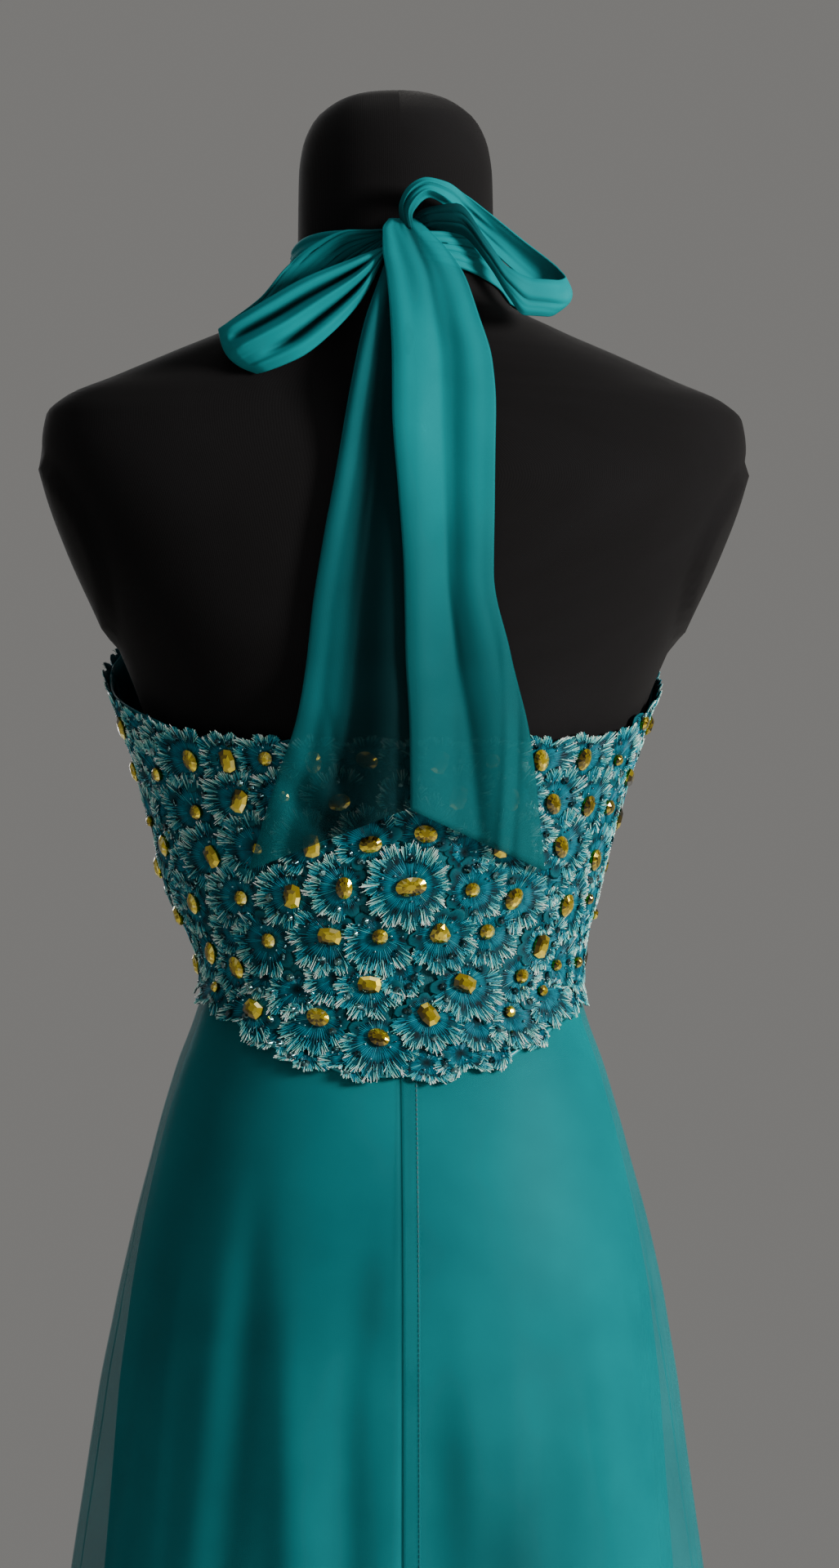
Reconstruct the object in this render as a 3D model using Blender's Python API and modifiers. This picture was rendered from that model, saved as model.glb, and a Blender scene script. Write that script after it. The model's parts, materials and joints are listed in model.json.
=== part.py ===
"""A halter evening gown on a black dress form with its stand.

Metres, +Z up. The gown's front faces -Y and its back +Y, and the origin is on the floor under the pole.
Angles round the body start at the centre back and grow towards +X, the wearer's left.
"""

import math

import bmesh
import bpy
import numpy as np
from mathutils import Matrix, Vector
from mathutils.bvhtree import BVHTree
from mathutils.geometry import delaunay_2d_cdt

MM = 0.001
TURN = 2 * math.pi

# Heights above the floor
HEM_Z = 0.012
LINING_HEM_Z = 0.030
FORM_BOTTOM_Z = 0.800
WAIST_Z = 1.080
SKIRT_TOP_Z = 1.078
KNOT_Z = 1.512

# Cloth walls, from the form outwards
SEAM_GAP = 0.3 * MM
STRETCH_AT_SEAMS = 0.085
LINING_OUT = 1.2 * MM
LINING_WALL = 1.2 * MM
CHIFFON_OUT = 3.0 * MM
CHIFFON_WALL = 1.0 * MM
LAP_WALL = 0.8 * MM
LAP_WIDTH = 11 * MM
LAP_TOP_Z = 1.030
BODICE_OUT = 1.6 * MM
BODICE_OVER_SKIRT = 0.6 * MM
BODICE_WALL = 2.0 * MM
TIE_WALL = 1.5 * MM

# Stand
POLE_RADIUS = 0.014
BASE_RADIUS = 0.165
BASE_THICKNESS = 0.014
COLLAR_RADIUS = 0.028
COLLAR_TOP_Z = 0.060

# The form's level sections, from the floor up. Below the form's bottom they only carry the skirt.
BODY_COLUMNS = ("z", "side", "back", "front", "centre_y", "square")
BODY = (
    (0.000, 0.1530, 0.112, 0.102, 0.000, 2.15),
    (0.740, 0.1530, 0.112, 0.102, 0.000, 2.15),
    (0.840, 0.1525, 0.114, 0.103, 0.000, 2.15),
    (0.888, 0.1500, 0.114, 0.102, 0.000, 2.15),
    (0.937, 0.1435, 0.110, 0.099, 0.000, 2.15),
    (0.985, 0.1335, 0.100, 0.095, 0.000, 2.15),
    (1.031, 0.1205, 0.087, 0.089, 0.000, 2.15),
    (1.062, 0.1095, 0.078, 0.083, 0.000, 2.15),
    (1.080, 0.1060, 0.076, 0.081, 0.000, 2.15),
    (1.107, 0.1110, 0.080, 0.084, 0.000, 2.15),
    (1.136, 0.1185, 0.086, 0.089, 0.000, 2.15),
    (1.179, 0.1288, 0.093, 0.096, 0.000, 2.15),
    (1.208, 0.1370, 0.097, 0.100, 0.000, 2.20),
    (1.232, 0.1450, 0.100, 0.102, 0.000, 2.25),
    (1.257, 0.1540, 0.101, 0.103, 0.000, 2.30),
    (1.276, 0.1620, 0.101, 0.103, 0.000, 2.40),
    (1.296, 0.1710, 0.100, 0.101, 0.000, 2.50),
    (1.335, 0.1890, 0.096, 0.095, 0.000, 2.60),
    (1.373, 0.2030, 0.088, 0.083, 0.000, 2.75),
    (1.398, 0.2085, 0.079, 0.072, 0.001, 2.85),
    (1.415, 0.2060, 0.072, 0.064, 0.002, 2.90),
    (1.426, 0.1940, 0.067, 0.059, 0.003, 2.90),
    (1.437, 0.1680, 0.063, 0.056, 0.004, 2.80),
    (1.453, 0.1310, 0.060, 0.054, 0.005, 2.60),
    (1.468, 0.0960, 0.058, 0.053, 0.005, 2.30),
    (1.484, 0.0660, 0.056, 0.053, 0.004, 2.05),
    (1.500, 0.0585, 0.056, 0.054, 0.002, 2.00),
    (1.560, 0.0575, 0.057, 0.056, -0.006, 2.00),
    (1.576, 0.0555, 0.055, 0.055, -0.008, 2.00),
    (1.592, 0.0490, 0.048, 0.048, -0.009, 2.00),
    (1.603, 0.0370, 0.036, 0.036, -0.010, 2.00),
    (1.6085, 0.0240, 0.024, 0.024, -0.010, 2.00),
    (1.610, 0.0120, 0.012, 0.012, -0.010, 2.00),
)
BUST_X = 0.072
BUST_Z = 1.222
BUST_SPREAD = 0.043
BUST_HEIGHT = 0.024

# How far each skirt layer stands off the body's sections
EASE_COLUMNS = ("z", "side", "back", "front")
LINING_EASE = (
    (0.000, 0.090, 0.093, 0.090),
    (0.400, 0.046, 0.048, 0.046),
    (0.743, 0.012, 0.012, 0.012),
    (0.840, 0.005, 0.004, 0.005),
    (0.888, 0.002, 0.001, 0.002),
    (0.985, 0.0005, 0.000, 0.000),
    (1.062, 0.001, 0.000, 0.000),
    (1.080, 0.000, 0.000, 0.000),
)
CHIFFON_EASE = (
    (0.000, 0.112, 0.110, 0.108),
    (0.400, 0.067, 0.064, 0.062),
    (0.743, 0.0255, 0.0225, 0.0235),
    (0.790, 0.0195, 0.0165, 0.0185),
    (0.840, 0.0133, 0.010, 0.012),
    (0.888, 0.0080, 0.005, 0.007),
    (0.937, 0.0050, 0.002, 0.004),
    (0.985, 0.0030, 0.001, 0.002),
    (1.046, 0.0030, 0.000, 0.001),
    (1.062, 0.0028, 0.000, 0.000),
    (1.080, 0.0000, 0.000, 0.000),
)

# The skirt's main folds: the angle of each ridge, half its width in degrees, its height at the hem,
# and the height above the floor at which it starts
CHIFFON_FOLDS = (
    (16, 8, 0.021, 0.93),
    (37, 7, 0.027, 0.96),
    (58, 8, 0.022, 0.90),
    (79, 7, 0.026, 0.97),
    (103, 9, 0.022, 0.92),
    (127, 8, 0.026, 0.95),
    (150, 9, 0.021, 0.90),
    (175, 8, 0.025, 0.94),
    (198, 8, 0.020, 0.91),
    (222, 9, 0.026, 0.95),
    (247, 8, 0.023, 0.93),
    (271, 7, 0.026, 0.96),
    (291, 7, 0.023, 0.93),
    (313, 8, 0.027, 0.97),
    (336, 9, 0.022, 0.92),
)

# Edges of the bodice by the angle from the centre back
EDGE_COLUMNS = ("degrees", "lower", "upper")
BODICE_EDGES = (
    (0, 1.034, 1.219),
    (14, 1.037, 1.219),
    (36, 1.050, 1.221),
    (52, 1.064, 1.225),
    (72, 1.075, 1.238),
    (90, 1.080, 1.254),
    (105, 1.080, 1.270),
    (120, 1.074, 1.280),
    (135, 1.064, 1.292),
    (148, 1.054, 1.316),
    (160, 1.047, 1.327),
    (170, 1.043, 1.280),
    (180, 1.042, 1.226),
)
LOWER_SCALLOP = 7.5 * MM
UPPER_SCALLOP = 4.5 * MM
UPPER_LOBES = 30
STRAP_ROOT = (152, 169)
LOOSE_DEGREES = 98
LOOSE_SPREAD = 42
LOOSE_HEIGHT = 11 * MM

# Flowers of the lace, each with one stone. Those on the back lie as the photograph shows them,
# in rows of angles from the centre back and millimetres above the waist. The rest are staggered.
FLOWER_COLUMNS = 21
FLOWER_PITCH = TURN / FLOWER_COLUMNS
BACK_FLOWERS = (
    ((92, 130), (70, 127), (54, 134), (42, 133), (31, 134), (19, 132), (7, 133), (-7, 132)),
    ((-19, 133), (-32, 134), (-46, 135), (-62, 135), (-74, 157)),
    ((57, 104), (41, 110), (28, 112), (14, 109), (-12, 112), (-26, 111), (-39, 109), (-53, 108), (-66, 107)),
    ((77, 85), (54, 78), (38, 82), (22, 84), (7, 85), (-5, 91), (-25, 84), (-45, 84), (-65, 76)),
    ((68, 51), (46, 54), (29, 55), (14, 60), (-2, 61), (-18, 59), (-31, 54), (-53, 50), (-68, 53)),
    ((68, 21), (39, 29), (19, 32), (5, 32), (-10, 34), (-24, 35), (-45, 26)),
    ((90, 13), (54, 13), (8, 4), (-18, 5), (-38, 9), (-54, 15)),
    ((44, -14), (22, -17), (5, -29), (-7, -15), (-32, -14)),
)
BACK_SPAN = 62
NEAREST_FLOWERS = 21 * MM
ROW_PITCH = 28 * MM
MOST_ROWS = 12
FIRST_ROW = 16 * MM
TOP_MARGIN = 9 * MM
FLOWER_RADIUS = 13 * MM
FLOWER_SHARE = 0.45
RIM_POINTS = 5
RIM_HEIGHT = 0.5 * MM
STONE_FOOT = 1.2 * MM
STONE_HEIGHT = 4.0 * MM
STONE_POINTS = 6
STONE_WIDTH = 10.5 * MM
TABLE_WIDTH = 6 * MM
STONE_MARGIN = 8.5 * MM
FLAT_SCALE = 0.125
INNER_STEP = 0.15
INNER_ROWS = (1.050, 1.066, 1.083, 1.092) + tuple(1.101 + 0.021 * k for k in range(12))
OPENING_COLUMNS = ("z", "degrees")
OPENING = (
    (1.020, 0),
    (1.031, 0),
    (1.045, -1.6),
    (1.062, 2.3),
    (1.080, -4.0),
    (1.108, -2.7),
    (1.124, 6.2),
    (1.139, 7.1),
    (1.155, 3.2),
    (1.168, 0),
    (1.230, 0),
)
SEAM_STEP = 9 * MM
EDGE_POINTS = {"lower": 4, "upper": 5}
EDGE_MARGIN = 0.02
SEAM_COLUMNS = {"bodice_back_left": (0, 6), "bodice_front": (6, 15), "bodice_back_right": (15, 21)}

# Bow of the tie at the nape, in millimetres from the knot: x to the wearer's left, z up, out from the neck
KNOT_HALF = (10.5, 8.0, 12.0)
KNOT_GAP = 0.7 * MM
KNOT_TOUCH = 0.6 * MM
LOOP_COLUMNS = ("upper_x", "upper_z", "lower_x", "lower_z", "out")
LOOP_LEFT = (
    (11.5, -2, 11.5, -9, 3),
    (30, -10, 23, -32, 9),
    (58, -22, 42, -54, 12),
    (82, -36, 60, -68, 11),
    (102, -48, 80, -76, 6),
    (107, -51, 85, -77, 0),
    (101, -46, 82, -72, -6),
    (82, -31, 66, -62, -8),
    (68, -14, 49, -44, -8),
    (51, 0, 36, -28, -6),
    (31, 8, 24, -14, -3),
    (11.5, 8, 11.5, 0, -1),
)
LOOP_RIGHT = (
    (-3, 14, -11.5, 8, 3),
    (-5, 29, -16, 14, 8),
    (-19, 37, -23, 13, 12),
    (-35, 33, -33, 5, 14),
    (-55, 18, -44, -6, 14),
    (-73, 2, -61, -20, 12),
    (-90, -13, -74, -29, 8),
    (-95, -19, -80, -41, 0),
    (-92, -21, -77, -40, -7),
    (-75, -12, -66, -33, -9),
    (-56, -2, -51, -23, -8),
    (-35, 3, -34, -13, -5),
    (-12, 5, -12, -4, 0),
)
LOOP_CROWN = 5 * MM
LOOP_GAP = 3 * MM

# Ends of the tie: the two edges of each, from the knot to its slanting end
TAIL_COLUMNS = ("left_x", "left_z", "right_x", "right_z")
TAIL_RIGHT = (
    (10, 1, -11, 0),
    (9, -19, -23, -19),
    (8, -42, -40, -42),
    (7, -70, -51, -70),
    (7, -98, -53, -98),
    (4, -145, -52, -145),
    (1, -192, -51, -192),
    (0, -239, -61, -239),
    (-2, -285, -73, -290),
    (-3, -328, -83, -363),
)
TAIL_LEFT = (
    (8.5, -7, -3, -7),
    (23, -51, -5, -51),
    (30, -84, -7, -84),
    (39, -136, -7, -136),
    (46, -173, -6, -173),
    (52, -211, -6, -211),
    (56, -248, -6, -248),
    (61, -276, -7, -276),
    (73, -314, -7, -302),
    (87, -363, -7, -325),
)
TAIL_HANG = 150 * MM
TAIL_FOLD = 1.7 * MM
TAIL_OFF_FORM = 3.5 * MM
TAIL_OFF_STONES = 9 * MM

# Halter strap from the bust to the nape, for the wearer's left: its middle line and width
STRAP_COLUMNS = ("x", "y", "z", "width")
STRAP = (
    (0.0790, -0.094, 1.3273, 0.041),
    (0.0785, -0.086, 1.355, 0.039),
    (0.0765, -0.077, 1.385, 0.037),
    (0.0745, -0.066, 1.415, 0.036),
    (0.0725, -0.056, 1.440, 0.034),
    (0.0700, -0.042, 1.463, 0.033),
    (0.0670, -0.022, 1.483, 0.032),
    (0.0630, 0.000, 1.497, 0.030),
    (0.0560, 0.022, 1.505, 0.027),
    (0.0430, 0.042, 1.509, 0.023),
    (0.0240, 0.055, 1.511, 0.018),
    (0.0102, 0.0590, 1.512, 0.015),
)
STRAP_GAP = 0.9 * MM

# Mesh densities
FORM_AROUND = 32
LINING_STEP = math.radians(10)
CHIFFON_STEP = math.radians(6)
HIP_ROWS = (SKIRT_TOP_Z, 1.062, 1.046, 1.024, 0.990, 0.950, 0.910, 0.865, 0.815, 0.743)
CLOTH_ROWS = HIP_ROWS + (0.560, 0.300, HEM_Z)
LINING_ROWS = HIP_ROWS + (0.400, LINING_HEM_Z)
SIDE_SEAM = math.radians(97)


def column(table, names, name):
    return np.array([row[names.index(name)] for row in table], float)


def steady(xs, ys, x):
    """A smooth curve through a table's rows that never overshoots them."""
    step = np.diff(xs)
    slope = np.diff(ys) / step
    inner = np.zeros(len(xs))
    same = slope[:-1] * slope[1:] > 0
    both = np.where(same, slope[:-1] + slope[1:], 1.0)
    inner[1:-1] = np.where(same, 2 * slope[:-1] * slope[1:] / both, 0.0)
    inner[0], inner[-1] = slope[0], slope[-1]
    x = np.clip(x, xs[0], xs[-1])
    i = np.clip(np.searchsorted(xs, x, side="right") - 1, 0, len(xs) - 2)
    h = step[i]
    u = (x - xs[i]) / h
    return (
        ys[i] * (1 + 2 * u) * (1 - u) ** 2
        + inner[i] * h * u * (1 - u) ** 2
        + ys[i + 1] * u * u * (3 - 2 * u)
        + inner[i + 1] * h * u * u * (u - 1)
    )


def looked_up(table, names, key, name, x):
    return steady(column(table, names, key), column(table, names, name), x)


def eased_step(low, high, x):
    u = np.clip((x - low) / (high - low), 0, 1)
    return u * u * (3 - 2 * u)


def signed_power(value, power):
    return np.sign(value) * np.abs(value) ** power


def body(t, z, ease=None):
    """The point at angle t and height z on the form, or that far out on a skirt's own sections."""
    t, z = np.broadcast_arrays(np.asarray(t, float), np.asarray(z, float))
    size = {name: looked_up(BODY, BODY_COLUMNS, "z", name, z) for name in BODY_COLUMNS[1:]}
    if ease is not None:
        for name in EASE_COLUMNS[1:]:
            size[name] = size[name] + looked_up(ease, EASE_COLUMNS, "z", name, z)
    across, along = np.sin(t), np.cos(t)
    power = 2 / size["square"]
    depth = np.where(along >= 0, size["back"], size["front"])
    x = size["side"] * signed_power(across, power)
    y = size["centre_y"] + depth * signed_power(along, power)
    off = (np.abs(x) - BUST_X) ** 2 + (z - BUST_Z) ** 2
    bust = BUST_HEIGHT * np.exp(-off / (2 * BUST_SPREAD**2)) * eased_step(0.1, 0.7, -along)
    return np.stack([x, y - bust, z], axis=-1)


def outward(t, z, ease=None):
    """The unit normal of that surface."""
    dt, dz = 1e-3, 0.2 * MM
    around = body(t + dt, z, ease) - body(t - dt, z, ease)
    up = body(t, np.asarray(z) + dz, ease) - body(t, np.asarray(z) - dz, ease)
    normal = np.cross(up, around)
    return normal / np.linalg.norm(normal, axis=-1, keepdims=True)


def off_body(t, z, out, ease=None):
    return body(t, z, ease) + outward(t, z, ease) * np.asarray(out)[..., None]


def chiffon_fold(t, z):
    """How far the skirt's folds stand out at an angle and a height."""
    out = np.zeros(np.broadcast(t, z).shape)
    for degrees, spread, height, start in CHIFFON_FOLDS:
        away = (np.degrees(t) - degrees + 180) % 360 - 180
        grown = np.clip((start - z) / (start - HEM_Z), 0, 1) ** 1.2
        out = out + height * grown * np.exp(-((away / spread) ** 2))
    return out


def chiffon(t, z, out=0.0):
    return off_body(t, z, CHIFFON_OUT + out + chiffon_fold(t, z), CHIFFON_EASE)


def lining(t, z):
    return off_body(t, z, np.full(np.broadcast(t, z).shape, LINING_OUT), LINING_EASE)


def back_y(x, z):
    """How far back the form reaches at a place seen from behind."""
    side, depth, middle, square = (
        looked_up(BODY, BODY_COLUMNS, "z", name, z) for name in ("side", "back", "centre_y", "square")
    )
    share = np.clip(np.abs(x) / side, 0, 0.97)
    return middle + depth * (1 - share**square) ** (1 / square)


def collection(name, hidden=False):
    made = bpy.data.collections.new(name)
    made.hide_render = hidden
    bpy.context.scene.collection.children.link(made)
    return made


def material(name, colour, roughness, metallic=0.0):
    made = bpy.data.materials.new(name)
    made.use_nodes = True
    shader = made.node_tree.nodes["Principled BSDF"]
    shader.inputs["Base Color"].default_value = (*colour, 1)
    shader.inputs["Roughness"].default_value = roughness
    shader.inputs["Metallic"].default_value = metallic
    return made


def add_object(name, mesh, finish, home):
    mesh.materials.append(finish)
    made = bpy.data.objects.new(name, mesh)
    home.objects.link(made)
    return made


def mesh_of(name, points, faces):
    mesh = bpy.data.meshes.new(name)
    mesh.from_pydata([tuple(p) for p in points], [], faces)
    mesh.validate()
    return mesh


def face_outwards(mesh):
    work = bmesh.new()
    work.from_mesh(mesh)
    bmesh.ops.recalc_face_normals(work, faces=work.faces)
    work.to_mesh(mesh)
    work.free()


def cloth_wall(name, points, thickness, finish, home):
    """A grid of points, rows of the same length, as a cloth wall that thickens outwards."""
    rows, across = points.shape[:2]
    faces = []
    for i in range(rows - 1):
        for j in range(across - 1):
            a = i * across + j
            faces.append((a, a + 1, a + across + 1, a + across))
    made = add_object(name, mesh_of(name, points.reshape(-1, 3), faces), finish, home)
    wall = made.modifiers.new("wall", "SOLIDIFY")
    wall.thickness = thickness
    wall.offset = 1
    made.data.shade_smooth()
    return made


def make_form(finish, home):
    """The dress form: rings up the body, closed by a flat underside and a small flat on the neck."""
    low = np.linspace(FORM_BOTTOM_Z, 0.990, 6)
    waist = np.array([1.018, 1.040, 1.055, 1.067, 1.080, 1.093, 1.108, 1.128, 1.150])
    chest = np.linspace(1.176, 1.384, 9)
    shoulder = np.array([1.399, 1.411, 1.4205, 1.429, 1.437, 1.447, 1.457, 1.467, 1.477, 1.488])
    neck = np.array([1.505, 1.558, 1.578, 1.591, 1.601, 1.607, 1.610])
    levels = np.concatenate([low, waist, chest, shoulder, neck])
    angles = np.arange(FORM_AROUND) * TURN / FORM_AROUND
    points = body(angles[None, :], levels[:, None]).reshape(-1, 3)
    faces = []
    for i in range(len(levels) - 1):
        for j in range(FORM_AROUND):
            k = (j + 1) % FORM_AROUND
            here, above = i * FORM_AROUND, (i + 1) * FORM_AROUND
            faces.append((here + j, here + k, above + k, above + j))
    faces.append(tuple(range(FORM_AROUND)))
    faces.append(tuple((len(levels) - 1) * FORM_AROUND + j for j in range(FORM_AROUND)))
    mesh = mesh_of("dress_form", points, faces)
    face_outwards(mesh)
    made = add_object("dress_form", mesh, finish, home)
    mesh.shade_smooth()
    return made


def make_turned(name, outline, finish, home):
    """A turned piece, from its outline down from the axis at the top and back to the axis below."""
    mesh = bpy.data.meshes.new(name)
    mesh.from_pydata([(r, 0, z) for r, z in outline], [(i, i + 1) for i in range(len(outline) - 1)], [])
    made = add_object(name, mesh, finish, home)
    turned = made.modifiers.new("turned", "SCREW")
    turned.steps = turned.render_steps = 24
    turned.use_merge_vertices = True
    turned.merge_threshold = 0.0001


def make_stand(finish, home):
    """A round base with the collar on it, and the pole between them and the form."""
    base = (
        (0.0, BASE_THICKNESS),
        (COLLAR_RADIUS + 0.006, BASE_THICKNESS),
        (BASE_RADIUS - 0.006, BASE_THICKNESS - 0.002),
        (BASE_RADIUS, BASE_THICKNESS - 0.007),
        (BASE_RADIUS, 0.001),
        (BASE_RADIUS - 0.001, 0.0),
        (0.0, 0.0),
    )
    collar = (
        (0.0, COLLAR_TOP_Z),
        (COLLAR_RADIUS - 0.003, COLLAR_TOP_Z),
        (COLLAR_RADIUS, COLLAR_TOP_Z - 0.003),
        (COLLAR_RADIUS, BASE_THICKNESS + SEAM_GAP),
        (0.0, BASE_THICKNESS + SEAM_GAP),
    )
    make_turned("stand_base", base, finish, home)
    make_turned("stand_collar", collar, finish, home)
    low, high = COLLAR_TOP_Z + SEAM_GAP, FORM_BOTTOM_Z - SEAM_GAP
    bpy.ops.mesh.primitive_cylinder_add(vertices=20, radius=POLE_RADIUS, depth=high - low)
    pole = bpy.context.object
    pole.name = pole.data.name = "stand_pole"
    pole.location = (0, 0, (low + high) / 2)
    pole.data.materials.append(finish)
    for old in list(pole.users_collection):
        old.objects.unlink(pole)
    home.objects.link(pole)


def panel_angles(start, end, step):
    count = max(2, round((end - start) / step))
    return np.linspace(start, end, count + 1)


def make_skirt(home, satin, sheer):
    """The satin underskirt, the chiffon over it, and the lap over the chiffon's back seam."""
    other_seam = TURN - SIDE_SEAM
    edge = SEAM_GAP / STRETCH_AT_SEAMS
    panels = (
        ("back_left", 0, SIDE_SEAM),
        ("front", SIDE_SEAM, other_seam),
        ("back_right", other_seam, TURN),
    )
    for part, start, end in panels:
        angles = panel_angles(start + edge, end - edge, LINING_STEP)
        rows = np.array(LINING_ROWS)
        cloth_wall("underskirt_" + part, lining(angles[None, :], rows[:, None]), LINING_WALL, satin, home)
        angles = panel_angles(start + edge, end - edge, CHIFFON_STEP)
        rows = np.array(CLOTH_ROWS)
        cloth_wall("skirt_" + part, chiffon(angles[None, :], rows[:, None]), CHIFFON_WALL, sheer, home)
    rows = np.array([z for z in CLOTH_ROWS if z < LAP_TOP_Z])
    pitch = np.linalg.norm(chiffon(0.01, rows) - chiffon(-0.01, rows), axis=-1) / 0.02
    angles = np.array([-LAP_WIDTH, -LAP_WIDTH / 2, 0.0])[None, :] / pitch[:, None] - 0.002
    out = CHIFFON_WALL + 1.3 * SEAM_GAP
    cloth_wall("back_lap", chiffon(angles, rows[:, None], out), LAP_WALL, sheer, home)


def bodice_edge(name, t):
    degrees = np.degrees(np.abs((np.asarray(t, float) + math.pi) % TURN - math.pi))
    return looked_up(BODICE_EDGES, EDGE_COLUMNS, "degrees", name, degrees)


def scalloped(name, t):
    """An edge of the bodice with the lobes of its outer flowers."""
    t = np.asarray(t, float)
    if name == "lower":
        return bodice_edge(name, t) - LOWER_SCALLOP * np.abs(np.sin(math.pi * t / FLOWER_PITCH)) ** 0.7
    degrees = np.degrees(np.abs((t + math.pi) % TURN - math.pi))
    root, tip = STRAP_ROOT
    plain = eased_step(root - 6, root - 1, degrees) * (1 - eased_step(tip + 1, tip + 6, degrees))
    lobe = np.abs(np.sin(t * UPPER_LOBES / 2)) ** 0.7
    return bodice_edge(name, t) + UPPER_SCALLOP * lobe * (1 - plain)


def seam_angle(flower, z):
    """A seam of the lace, which weaves between the flowers of each row."""
    middle = flower * FLOWER_PITCH
    if flower in (0, FLOWER_COLUMNS):
        return middle + math.radians(float(looked_up(OPENING, OPENING_COLUMNS, "z", "degrees", z)))
    row = (z - bodice_edge("lower", middle) - FIRST_ROW) / ROW_PITCH
    return middle - FLOWER_PITCH / 4 * (1 - np.cos(math.pi * row))


def bodice_stretch(t, z):
    """Metres round the body for each radian."""
    return np.linalg.norm(body(t + 0.01, z) - body(t - 0.01, z), axis=-1) / 0.02


def apart(one, other):
    """Roughly how far apart two places on the lace are, in metres."""
    t, z = one
    turn = (other[0] - t + math.pi) % TURN - math.pi
    return math.hypot(turn * float(bodice_stretch(t, z)), other[1] - z)


def flower_places():
    """The angle and height of each flower's stone."""
    places = []
    for row in BACK_FLOWERS:
        places += [(math.radians(degrees) % TURN, WAIST_Z + up * MM) for degrees, up in row]
    back = len(places)
    for row in range(MOST_ROWS):
        for step in range(FLOWER_COLUMNS):
            t = (step + 0.5 * (row % 2 == 0)) * FLOWER_PITCH
            z = float(bodice_edge("lower", t)) + FIRST_ROW + row * ROW_PITCH
            from_back = abs((math.degrees(t) + 180) % 360 - 180)
            if from_back < BACK_SPAN or z > float(bodice_edge("upper", t)) - TOP_MARGIN:
                continue
            if all(apart((t, z), other) > NEAREST_FLOWERS for other in places[:back]):
                places.append((t, z))
    return places


def corner(name, flower):
    """The height at which a seam meets an edge of the bodice."""
    z = float(scalloped(name, flower * FLOWER_PITCH))
    for _ in range(12):
        z = float(scalloped(name, float(seam_angle(flower, z))))
    return z


def bodice_outline(start, end):
    """The panel's edge as angles and heights: lower edge, seam, upper edge and the other seam."""
    half_gap = SEAM_GAP / STRETCH_AT_SEAMS

    def seam(flower, shift, upwards):
        low, high = corner("lower", flower), corner("upper", flower)
        zs = np.linspace(low, high, round((high - low) / SEAM_STEP) + 1)[1:-1]
        line = [(float(seam_angle(flower, z)) + shift, float(z)) for z in zs]
        return line if upwards else line[::-1]

    def edge(name, forwards):
        first = float(seam_angle(start, corner(name, start))) + half_gap
        last = float(seam_angle(end, corner(name, end))) - half_gap
        count = EDGE_POINTS[name] * (end - start)
        ts = [k * FLOWER_PITCH / EDGE_POINTS[name] + start * FLOWER_PITCH for k in range(-count, 2 * count)]
        ts = [first] + [t for t in ts if first + EDGE_MARGIN < t < last - EDGE_MARGIN] + [last]
        line = [(t, float(scalloped(name, t))) for t in ts]
        return line if forwards else line[::-1]

    up, down = seam(end, -half_gap, True), seam(start, half_gap, False)
    return edge("lower", True) + up + edge("upper", False) + down


def bodice_wall(t, z, out):
    """The lace lies on the form, stands loose on the wearer's left, and hangs over the skirt's top."""
    t = np.asarray(t, float)
    away = (np.degrees(t) - LOOSE_DEGREES + 180) % 360 - 180
    loose = LOOSE_HEIGHT * np.exp(-((away / LOOSE_SPREAD) ** 2)) * eased_step(1.085, 1.150, z)
    low = eased_step(1.106, 1.084, z)
    lying = off_body(t, z, BODICE_OUT + loose + out)
    hanging = off_body(t, z, CHIFFON_OUT + CHIFFON_WALL + BODICE_OVER_SKIRT + out, CHIFFON_EASE)
    return lying * (1 - low)[..., None] + hanging * low[..., None]


def inside(outline, t, z, margin):
    """True where a point lies in the outline and is no nearer to it than the margin."""
    pts = np.array(outline) * (FLAT_SCALE, 1)
    p = np.array([t * FLAT_SCALE, z])
    a, b = pts, np.roll(pts, -1, axis=0)
    d = b - a
    u = np.clip(((p - a) * d).sum(1) / (d * d).sum(1), 0, 1)
    if np.linalg.norm(a + u[:, None] * d - p, axis=1).min() < margin:
        return False
    crosses = (a[:, 1] > p[1]) != (b[:, 1] > p[1])
    rise = np.where(np.abs(d[:, 1]) < 1e-9, 1e-9, d[:, 1])
    at = a[:, 0] + (p[1] - a[:, 1]) * d[:, 0] / rise
    return bool((crosses & (p[0] < at)).sum() % 2)


def filled(outline, points, edges):
    """Triangles over the outline through all the points."""
    flat = [Vector((t * FLAT_SCALE, z)) for t, z in outline + points]
    ring = list(range(len(outline)))
    made = delaunay_2d_cdt(flat, edges, [ring], 1, 1e-7)
    order = [ids[0] for ids in made[3]]
    return [tuple(order[i] for i in face) for face in made[2]]


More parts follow.
